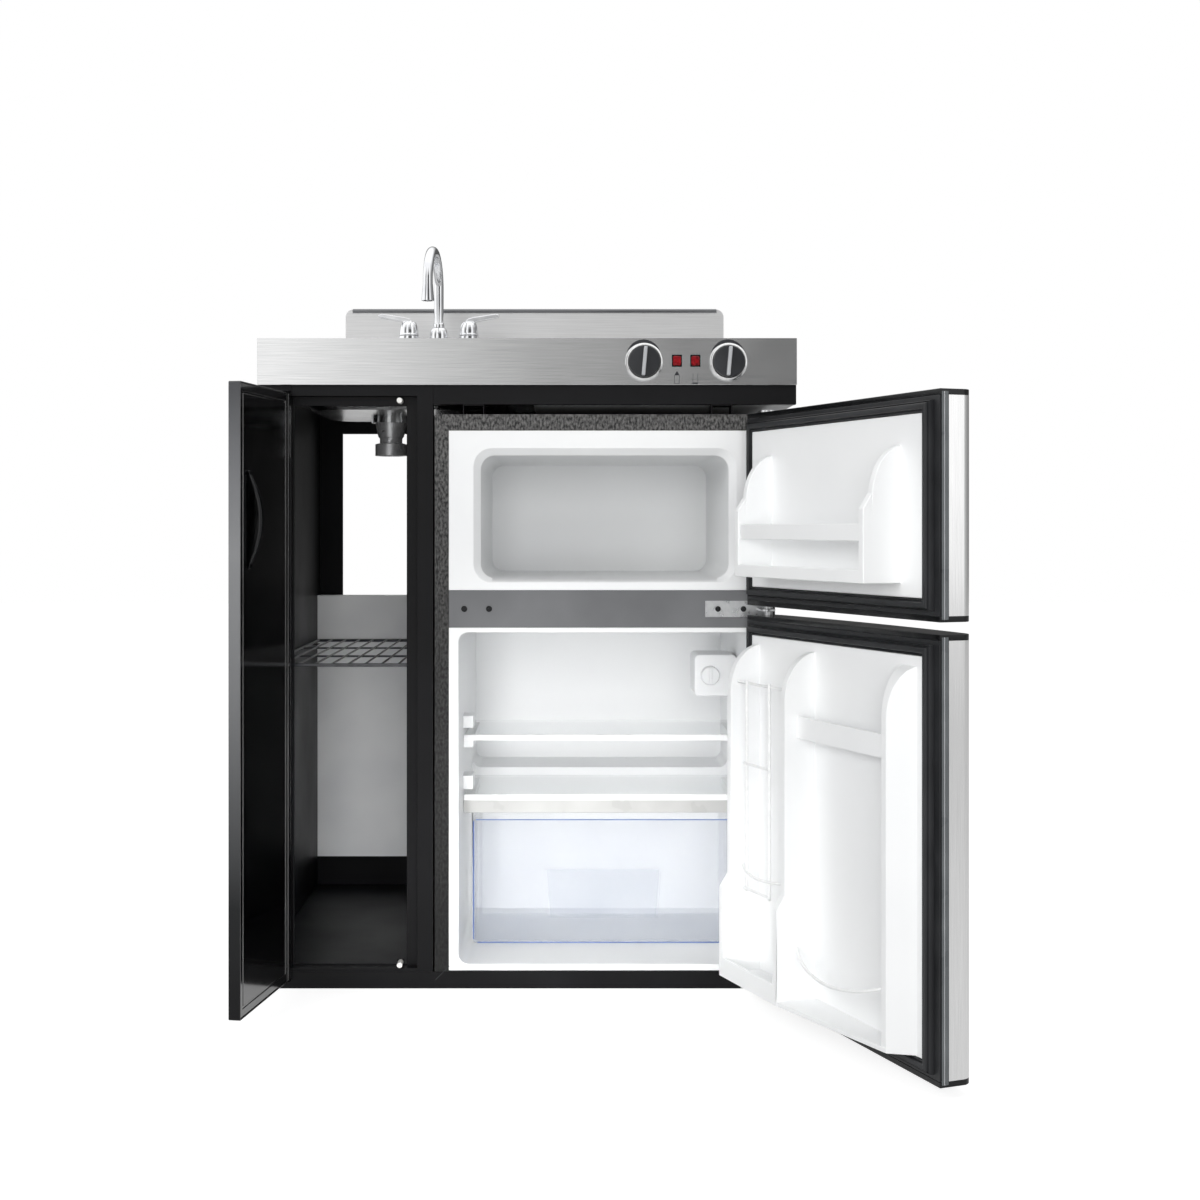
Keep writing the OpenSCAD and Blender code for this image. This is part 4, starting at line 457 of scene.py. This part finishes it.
def block(name, lo, hi, edge, rounds=3):
    """A rounded block between two corners in millimetres."""
    middle = [(a + b) / 2 * MM for a, b in zip(lo, hi)]
    bpy.ops.object.select_all(action="DESELECT")
    bpy.ops.mesh.primitive_cube_add(size=1, location=middle)
    piece = bpy.context.object
    piece.name = name
    piece.scale = [(b - a) * MM for a, b in zip(lo, hi)]
    bpy.ops.object.transform_apply(location=True, rotation=True, scale=True)
    return soften(piece, edge, rounds)


def turn(piece, degrees, about, axis="Y"):
    """Turn a piece's mesh about a point in millimetres, by the right-hand rule."""
    only(piece)
    bpy.ops.object.mode_set(mode="EDIT")
    bpy.ops.mesh.select_all(action="SELECT")
    bpy.ops.transform.rotate(value=-math.radians(degrees), orient_axis=axis,
                             center_override=Vector(about) * MM)
    bpy.ops.object.mode_set(mode="OBJECT")
    return piece


# ---- Camera, light and floor ----

def camera():
    """The photograph's viewpoint: level, in front of the unit. It was cropped off its
    middle, by so many of its 1200 pixels, and the shift says so."""
    picture = 1200
    lens = bpy.data.cameras.new("camera")
    lens.sensor_width = 36
    lens.lens = 51.03
    lens.shift_x = 35 / picture
    lens.shift_y = -72 / picture
    lens.clip_end = 60
    eye = bpy.data.objects.new("camera", lens)
    eye.location = (0.0536, -2.705, 0.652)
    eye.rotation_euler = (math.pi / 2, 0, 0)
    bpy.context.collection.objects.link(eye)
    bpy.context.scene.camera = eye


def lamp(name, at, aim, size, power, spread=180):
    """A square soft box that faces a point; a grid may narrow its beam."""
    light = bpy.data.lights.new(name, "AREA")
    light.size = size
    light.energy = power
    light.spread = math.radians(spread)
    box = bpy.data.objects.new(name, light)
    box.location = at
    box.rotation_euler = (Vector(aim) - Vector(at)).to_track_quat("-Z", "Y").to_euler()
    box.visible_glossy = False
    box.visible_camera = False
    bpy.context.collection.objects.link(box)


# Once round the room from behind the unit: how far round, and how bright
PANELS = [(0.0, 0.05), (0.07, 0.12), (0.13, 1.0), (0.33, 0.95), (0.375, 0.16), (0.405, 0.2),
          (0.43, 1.0), (0.474, 0.92), (0.49, 0.46), (0.505, 0.24), (0.522, 0.1), (0.585, 0.08),
          (0.61, 1.0), (0.646, 1.0), (0.668, 0.6), (0.69, 0.36), (0.75, 0.24), (0.83, 0.18),
          (1.0, 0.05)]
AMBIENT, MIRRORED = 0.46, 1.4               # strength of the room on paint, and in metal
FLOOR_GLOW, FLOOR_IN_METAL = 0.8, 0.4       # the floor's own white, and its share in metal


def studio():
    """A white room. Metal sees it with darker panels in it, which give steel its bands."""
    world = bpy.data.worlds.new("studio")
    bpy.context.scene.world = world
    world.use_nodes = True
    tree = world.node_tree
    tree.nodes.clear()
    path = add(tree, "ShaderNodeLightPath")
    way = add(tree, "ShaderNodeTexCoord")
    parts = add(tree, "ShaderNodeSeparateXYZ", {0: way.outputs["Generated"]})
    back = add(tree, "ShaderNodeMath", {0: parts.outputs["Y"], 1: -1.0}, operation="MULTIPLY")
    angle = add(tree, "ShaderNodeMath", {0: parts.outputs["X"], 1: back.outputs[0]},
                operation="ARCTAN2")
    share = add(tree, "ShaderNodeMapRange", {0: angle.outputs[0], 1: -math.pi, 2: math.pi})
    ramp = add(tree, "ShaderNodeValToRGB", {0: share.outputs[0]})
    set_stops(ramp, [(at, (bright, bright, bright, 1)) for at, bright in PANELS])
    high = add(tree, "ShaderNodeMapRange", {0: parts.outputs["Z"], 1: 0.35, 2: 0.75})
    seen = add(tree, "ShaderNodeMix", {0: high.outputs[0], 6: ramp.outputs[0],
                                       7: (1, 1, 1, 1)}, data_type="RGBA")
    ambient = add(tree, "ShaderNodeBackground", {"Color": colour("#ffffff"),
                                                 "Strength": AMBIENT})
    mirrored = add(tree, "ShaderNodeBackground", {"Color": seen.outputs[2],
                                                  "Strength": MIRRORED})
    white = add(tree, "ShaderNodeBackground", {"Color": colour("#ffffff"), "Strength": 1.0})
    metal = add(tree, "ShaderNodeMixShader", {0: path.outputs["Is Glossy Ray"],
                                              1: ambient.outputs[0], 2: mirrored.outputs[0]})
    plain = add(tree, "ShaderNodeMath", {0: path.outputs["Is Camera Ray"],
                                         1: path.outputs["Is Transmission Ray"]},
                operation="MAXIMUM")
    mixed = add(tree, "ShaderNodeMixShader", {0: plain.outputs[0], 1: metal.outputs[0],
                                              2: white.outputs[0]})
    add(tree, "ShaderNodeOutputWorld", {"Surface": mixed.outputs[0]})


def floor():
    """A pale studio floor that melts into the white and keeps a soft shadow."""
    bpy.ops.object.select_all(action="DESELECT")
    bpy.ops.mesh.primitive_plane_add(size=24, location=(0, 0, 0))
    sheet = bpy.context.object
    sheet.name = "floor"
    material = bpy.data.materials.new("pale_floor")
    material.use_nodes = True
    tree = material.node_tree
    tree.nodes.clear()
    path = add(tree, "ShaderNodeLightPath")
    mirrored = add(tree, "ShaderNodeMath", {0: path.outputs["Is Glossy Ray"],
                                            1: FLOOR_IN_METAL}, operation="MULTIPLY")
    plain = add(tree, "ShaderNodeMath", {0: path.outputs["Is Camera Ray"],
                                         1: mirrored.outputs[0]}, operation="MAXIMUM")
    glow = add(tree, "ShaderNodeMath", {0: plain.outputs[0], 1: FLOOR_GLOW},
               operation="MULTIPLY")
    matt = add(tree, "ShaderNodeBsdfDiffuse", {"Color": colour("#bcbcbc")})
    light = add(tree, "ShaderNodeEmission", {"Strength": glow.outputs[0]})
    both = add(tree, "ShaderNodeAddShader", {0: matt.outputs[0], 1: light.outputs[0]})
    add(tree, "ShaderNodeOutputMaterial", {"Surface": both.outputs[0]})
    sheet.data.materials.append(material)


# ---- Hob ----

HOB_X = 190                                     # middle of both elements
COIL_Z, PITCH, TUBE = 923.8, 12.5, 7            # height, turn to turn, and tube diameter
LEG_GAP, LEG_Z, LEG_REACH = 9, 903, 27          # half the legs' spacing, height, reach


def coil(name, y, radius, turns):
    """A tubular heating element, wound from its middle out, with both legs at the front."""
    steps = 72                                  # to a turn
    r0 = radius - turns * PITCH
    end = radius + LEG_REACH
    # One leg runs in under the turns and rises to the innermost, the other leaves outside
    path = [(-LEG_GAP, -end, LEG_Z), (-LEG_GAP, -end + TUBE, LEG_Z), (-LEG_GAP, -r0 - 14, LEG_Z),
            (-LEG_GAP, -r0 - 4, LEG_Z + 4), (-LEG_GAP * 0.7, -r0, LEG_Z + 13)]
    for i in range(turns * steps + 1):
        a = math.radians(-90 + 360 * i / steps)
        r = r0 + PITCH * i / steps
        path.append((r * math.cos(a), r * math.sin(a), COIL_Z))
    path += [(LEG_GAP * 0.8, -radius - 1, COIL_Z - 7), (LEG_GAP, -radius - 3, LEG_Z + 5),
             (LEG_GAP, -radius - 9, LEG_Z), (LEG_GAP, -end + TUBE, LEG_Z), (LEG_GAP, -end, LEG_Z)]
    curve = bpy.data.curves.new(name, "CURVE")
    curve.dimensions = "3D"
    curve.bevel_depth = TUBE / 2 * MM
    curve.bevel_resolution = 4
    curve.use_fill_caps = True
    line = curve.splines.new("POLY")
    line.points.add(len(path) - 1)
    for point, (px, py, pz) in zip(line.points, path):
        point.co = ((HOB_X + px) * MM, (y + py) * MM, pz * MM, 1)
    piece = bpy.data.objects.new(name, curve)
    bpy.context.collection.objects.link(piece)
    only(piece)
    bpy.ops.object.convert(target="MESH")
    piece = bpy.context.object
    bpy.ops.object.shade_smooth_by_angle(angle=math.radians(50))
    return settle(piece, "cabinet", "heating_tube", FINISHES["heating_tube"], name)


# ---- Controls ----

FORWARD = (0, -1, 0)                            # the way the controls face


def knob(name, x):
    """A control knob: a turned metal skirt round a dark face with a raised grip."""
    base = (x, FRONT_Y - 1, KNOB_Z)
    grip_half = 20.5
    skirt = turned(name + "_skirt", [
        (0, -18), (3, -18), (3, 0), (25, 0), (27, 0.6), (27.4, 2), (26.6, 4.6), (25, 5.8),
        (23.2, 6), (22.6, 5.4), (22.4, 3.5), (0, 3.5)], base, FORWARD)
    settle(skirt, name, "stainless_steel", knob_metal, name)
    face = turned(name + "_face", [
        (0, 3.4), (21.8, 3.4), (22.2, 4), (22, 14), (21.6, 15.2), (20.4, 15.9), (0, 16.3)],
        base, FORWARD)
    settle(face, name, slot_of[name], FINISHES["knob_plastic"], name)
    grip = block(name + "_grip", (x - 2.6, FRONT_Y - 25, KNOB_Z - grip_half),
                 (x + 2.6, FRONT_Y - 14, KNOB_Z + grip_half), 1.4)
    turn(grip, 5, base)
    settle(grip, name, slot_of[name], grip_grey_and_painted_highlight, name)
    # A dark disc, of which an arc shows above the skirt: a painted reflection of the knob's dark
    # side in the steel
    arc = turned(name + "_painted_reflection_arc", [
        (0, 0), (24.5, 0), (24.5, 0.08), (24.3, 0.12), (0, 0.12)],
        (x - 0.5, FRONT_Y, KNOB_Z + 7.5), FORWARD)
    settle(arc, "cabinet", "knob_plastic", ink_and_painted_reflection)


def hob_marks():
    """The printed plan views of the hob under the lamps: an arrow at the top of the left one
    stands for the rear ring, and a bar at the foot of the right one for the front ring."""
    half, line = 3.6, 0.5
    rear_x, front_x = LAMPS_X
    bars = {
        "rear": [(rear_x - half, rear_x + half, 855.6, 856.1),
                 (rear_x - half, rear_x - half + line, 855.6, 868),
                 (rear_x + half - line, rear_x + half, 855.6, 868)],
        "front": [(front_x - half, front_x - half + line, 857, 870),
                  (front_x + half - line, front_x + half, 857, 870),
                  (front_x - half - 0.2, front_x + half + 0.2, 855.2, 857.2)],
    }
    for ring, lines in bars.items():
        for i, (x0, x1, z0, z1) in enumerate(lines):
            bar = block(f"hob_mark_{ring}_{i}", (x0, FRONT_Y - 0.1, z0),
                        (x1, FRONT_Y + 0.05, z1), 0.02, 1)
            settle(bar, "cabinet", "knob_plastic", ink_and_painted_reflection)
    middle = (rear_x, FRONT_Y, 869.5)
    arrow = turned("hob_mark_arrow", [(0, 0), (4.2, 0), (4.2, 0.1), (0, 0.1)], middle,
                   FORWARD, steps=3)
    turn(arrow, 30, middle)
    settle(arrow, "cabinet", "knob_plastic", ink_and_painted_reflection)


def lamp_bezels():
    """Thin black surrounds behind the two red lenses."""
    half_w, half_h = 7.2, 8.6
    for x in LAMPS_X:
        rim = block(f"lamp_bezel_{x:.0f}", (x - half_w, FRONT_Y - 0.7, LAMPS_Z - half_h),
                    (x + half_w, FRONT_Y + 0.3, LAMPS_Z + half_h), 0.4)
        settle(rim, "cabinet", "black_plastic", FINISHES["black_plastic"])


def splash_edge():
    """The rolled edge along the backsplash's top, which shows darker than the sheet."""
    lo, hi = (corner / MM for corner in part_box("backsplash"))
    radius, sunk, inset = 3.7, 3.5, 13
    length = hi.x - lo.x - 2 * inset
    roll = turned("splash_rolled_edge", [(0, 0), (radius, 0), (radius, length), (0, length)],
                  (lo.x + inset, lo.y + sunk, hi.z - sunk), (1, 0, 0), steps=24)
    settle(roll, "cabinet", "stainless_steel", bead_steel)


# ---- Fittings inside the fridge ----

def dial():
    """The thermostat's dial: a turned disc with a grip bar across it."""
    x, y, z = 276, -97.3, 426
    disc = turned("thermostat_disc", [(0, -12), (3, -12), (3, 0), (15, 0), (15, 1), (13.8, 8),
                                      (13, 9), (0, 9)], (x, y, z), FORWARD)
    bar = block("thermostat_grip", (x - 2.3, y - 13, z - 12.6), (x + 2.3, y - 8.5, z + 12.6), 0.9)
    for piece in (disc, bar):
        settle(piece, "thermostat_dial", slot_of["thermostat_dial"], FINISHES["white_liner"],
               "thermostat_dial")


def shelf_trims():
    """White rails clipped over the front edges of both glass shelves, and the fascia that
    hangs under the lower one's rail."""
    rail_h = 8
    for node in ("upper_shelf", "crisper_cover"):
        lo, hi = (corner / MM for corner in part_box(node))
        trim = block(node + "_front_trim", (lo.x - 0.2, lo.y - 0.6, hi.z - rail_h - 0.4),
                     (hi.x + 0.2, lo.y + 4.4, hi.z + 0.5), 0.9)
        settle(trim, "cabinet", "white_liner", trim_white)
    fascia = block("crisper_fascia", (lo.x - 0.2, lo.y - 0.3, hi.z - 26.4),
                   (hi.x + 0.2, lo.y + 4.3, hi.z - rail_h), 0.5)
    settle(fascia, "cabinet", "white_liner", fascia_white)


def drawer_rims():
    """The drawer's thick corners and rim, where its plastic shows blue."""
    lo, hi = (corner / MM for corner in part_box("crisper_drawer"))
    pull = 14                                   # what the pull stands out of the front wall
    y0 = lo.y + pull
    for name, a, b in (
            ("left", (lo.x - 0.2, y0 - 0.3, lo.z + 5), (lo.x + 1.6, y0 + 1.6, hi.z - 2)),
            ("right", (hi.x - 1.6, y0 - 0.3, lo.z + 5), (hi.x + 0.2, y0 + 1.6, hi.z - 2)),
            ("bottom", (lo.x + 6, y0 - 0.4, lo.z - 0.1), (hi.x - 6, y0 + 1.4, lo.z + 1.6)),
            ("top", (lo.x + 4, y0 - 0.3, hi.z - 1.4), (hi.x - 4, y0 + 1.5, hi.z + 0.2))):
        rim = block("drawer_rim_" + name, a, b, 0.7)
        settle(rim, "crisper_drawer", "clear_plastic", blue_edge)


# ---- Face of the unit ----

def door_strip():
    """The storage door's free edge, lighter than its faces by a painted sheen that is dark
    towards its foot.
    """
    strip = block("storage_door_edge", (STORAGE_EDGE_X - 0.6, -316.2, 17),
                  (STORAGE_EDGE_X + 0.4, -300.4, 841), 0.3, 2)
    turn(strip, -STORAGE_SWING, STORAGE_PIN, "Z")
    settle(strip, "storage_door", "black_steel", door_edge_painted_sheen)


def mitres():
    """The cuts at the corners of the case's folded front flange, as fine dark lines."""
    half, line = 14.5, 0.35
    for name, x, z, lean in (("left", -120, 802, 45), ("right", 340, 802, -45),
                             ("low", -120, 22, -45)):
        cut = block(f"flange_mitre_{name}", (x - half, FLANGE_Y - 0.25, z - line),
                    (x + half, FLANGE_Y + 0.2, z + line), 0.1, 1)
        turn(cut, lean, (x, FLANGE_Y, z), "Y")
        settle(cut, "cabinet", "textured_steel", ink_and_painted_reflection)


# ---- Doors of the fridge ----

SEAL_INSET = 12                                 # from the edge of the door
# The seal's section from its outer edge: how far in each step goes, and how far it rises
SEAL_STEPS = ((0.4, 4), (1.2, 2.4), (0.4, -2), (0.8, 0), (0.4, 3.6), (1, 1.6), (2.6, 0.4),
              (2.8, -0.4), (0.8, -1.2), (0.4, -3.4), (1.2, 0), (0.5, 2.4), (1, 0), (0.5, -7.4))


def gasket(body):
    """A magnetic door seal: one mitred frame with a bellows ridge, a groove and a flat."""
    z0, z1 = LEAVES[body]
    x0, x1 = LEAF_X0 + SEAL_INSET, LEAF_X1 - SEAL_INSET
    z0, z1 = z0 + SEAL_INSET, z1 - SEAL_INSET
    bpy.ops.object.select_all(action="DESELECT")
    bpy.ops.mesh.primitive_plane_add(
        size=1, location=((x0 + x1) / 2 * MM, LEAF_BACK * MM, (z0 + z1) / 2 * MM),
        rotation=(-math.pi / 2, 0, 0))
    piece = bpy.context.object
    piece.name = body + "_seal"
    piece.scale = ((x1 - x0) * MM, (z1 - z0) * MM, 1)
    bpy.ops.object.transform_apply(location=True, rotation=True, scale=True)
    bpy.ops.object.mode_set(mode="EDIT")
    bpy.ops.mesh.select_mode(type="FACE")
    bpy.ops.mesh.select_all(action="SELECT")
    for step, rise in SEAL_STEPS:
        bpy.ops.mesh.inset(thickness=step * MM, depth=rise * MM)
    bpy.ops.mesh.delete(type="FACE")
    bpy.ops.mesh.select_mode(type="EDGE")
    bpy.ops.mesh.select_all(action="DESELECT")
    bpy.ops.mesh.select_non_manifold()
    bpy.ops.mesh.bridge_edge_loops()
    bpy.ops.mesh.select_all(action="SELECT")
    bpy.ops.mesh.normals_make_consistent(inside=False)
    bpy.ops.object.mode_set(mode="OBJECT")
    turn(piece, LEAF_SWING, LEAF_PIN, "Z")
    soften(piece, 0, angle=25)
    return settle(piece, body, "gasket_rubber", FINISHES["gasket_rubber"], body + "_gasket")


def edge_trims(body):
    """Grey strips along the door's free edge, the middle one lighter: the trim's ribs, and a
    painted highlight on the frame's rounded black edge.
    """
    z0, z1 = LEAVES[body]
    short = 3                                   # of the door's top and bottom
    # The greys, lightest in the middle, paint the soft highlight of the frame's rounded black
    # edge
    ribs_and_painted_highlight = ((-319.4, -315.6, ribbed_trim_and_painted_highlight), (-315, -313.6, grip_grey_and_painted_highlight),
            (-313.2, -310.6, ribbed_trim_and_painted_highlight))
    for i, (y0, y1, plastic) in enumerate(ribs_and_painted_highlight):
        strip = block(f"{body}_edge_trim_{i}", (LEAF_X0 - 0.35, y0, z0 + short),
                      (LEAF_X0 + 0.6, y1, z1 - short), 0.3, 2)
        turn(strip, LEAF_SWING, LEAF_PIN, "Z")
        settle(strip, body, "charcoal_plastic", plastic)


# ---- Making the unit ----

bpy.context.scene.view_settings.view_transform = "Standard"
camera()
# Where each lamp hangs and aims, in metres, its size, its watts, and the angle of its grid
lamp("key", (-1.9, -2.2, 1.5), (0.2, -0.3, 0.5), 1.4, 27)
lamp("fill", (0.1, -3.4, 0.75), (0.05, 0, 0.5), 1.2, 36)
lamp("cavity", (-0.1, -1.2, 0.22), (0.1, 0.2, 0.1), 0.3, 0.7, 48)
lamp("top", (0.1, 0.2, 2.9), (0, 0, 0.8), 1.6, 12)
studio()
floor()

coil("front_element", -167, 73, 4)
coil("rear_element", 68, 95, 5)
knob("left_knob", 165)
knob("right_knob", 284)
hob_marks()
lamp_bezels()
splash_edge()
dial()
shelf_trims()
drawer_rims()
door_strip()
mitres()
for door in LEAVES:
    gasket(door)
    edge_trims(door)

EASED = {
    # node: (rounding in mm, steps, degrees from which a fold counts as an edge)
    "base_pan": (0.5, 2, 32), "left_side_panel": (0.4, 2, 32), "divider_panel": (0.4, 2, 32),
    "face_frame": (0.5, 2, 32), "door_bumpers": (0.8, 3, 32), "storage_floor": (0.4, 2, 32),
    "storage_back_panel": (0.4, 2, 32), "rear_rail": (0.4, 2, 32), "front_rail": (0.5, 2, 32),
    "wiring_box": (0.4, 2, 32), "wire_shelf": (0, 1, 40), "worktop": (0.6, 3, 32),
    "backsplash": (0.8, 3, 32), "sink_bowl": (0, 1, 40), "strainer_body": (0, 1, 32),
    "lock_nuts": (0.4, 2, 32), "faucet_base": (0.6, 3, 40), "drip_bowls": (0, 1, 40),
    "element_supports": (0.3, 2, 32), "element_receptacles": (0.6, 2, 32),
    "heat_switches": (0.6, 2, 32), "indicator_lights": (0.9, 3, 40), "fridge_case": (0.4, 2, 32),
    "freezer_liner": (0.8, 3, 32), "fridge_liner": (1.2, 3, 32), "mullion": (0.8, 2, 32),
    "hinge_brackets": (0.4, 2, 32), "hinge_screws": (0.3, 2, 32), "upper_shelf": (0.4, 2, 32),
    "crisper_cover": (0.4, 2, 32), "thermostat_housing": (2.5, 4, 32),
    "compressor": (1.0, 2, 32), "condenser": (0, 1, 40), "storage_door": (0.6, 3, 32),
    "storage_door_handle": (2.2, 4, 32), "freezer_door_skin": (0, 1, 30),
    "freezer_door_caps": (0.8, 3, 30), "freezer_door_frame": (0.8, 3, 32),
    "freezer_door_liner": (1.4, 3, 32), "freezer_door_bar": (0.9, 3, 32),
    "fridge_door_skin": (0, 1, 30), "fridge_door_caps": (0.8, 3, 30),
    "fridge_door_frame": (0.8, 3, 32), "fridge_door_liner": (0.7, 2, 32),
    "door_wire_guards": (0, 1, 40), "spout": (0, 1, 40), "hot_handle": (1.6, 3, 40),
    "cold_handle": (1.6, 3, 40), "strainer_basket": (0, 1, 32),
    "crisper_drawer": (0, 1, 32),
}
# Each node has its slot's finish, and these have their own
finish_of = {node: FINISHES[slot_of[node]] for node in frame["nodes"]}
finish_of.update({"freezer_door_skin": door_steel, "fridge_door_skin": door_steel,
                  "mullion": mullion_paint, "backsplash": splash_steel,
                  "strainer_body": satin_nickel(), "storage_door": door_gloss})
CLEAR_PARTS = ("upper_shelf", "crisper_cover", "crisper_drawer")
for node, (edge, rounds, angle) in EASED.items():
    piece = eased(node, edge, rounds, angle, finish_of[node])
    # Clear glass and plastic throw next to no shade on what lies behind their walls
    piece.visible_shadow = piece.visible_diffuse = node not in CLEAR_PARTS
for node, solid in frame["nodes"].items():
    solid.data.materials.clear()
    solid.data.materials.append(finish_of[node])
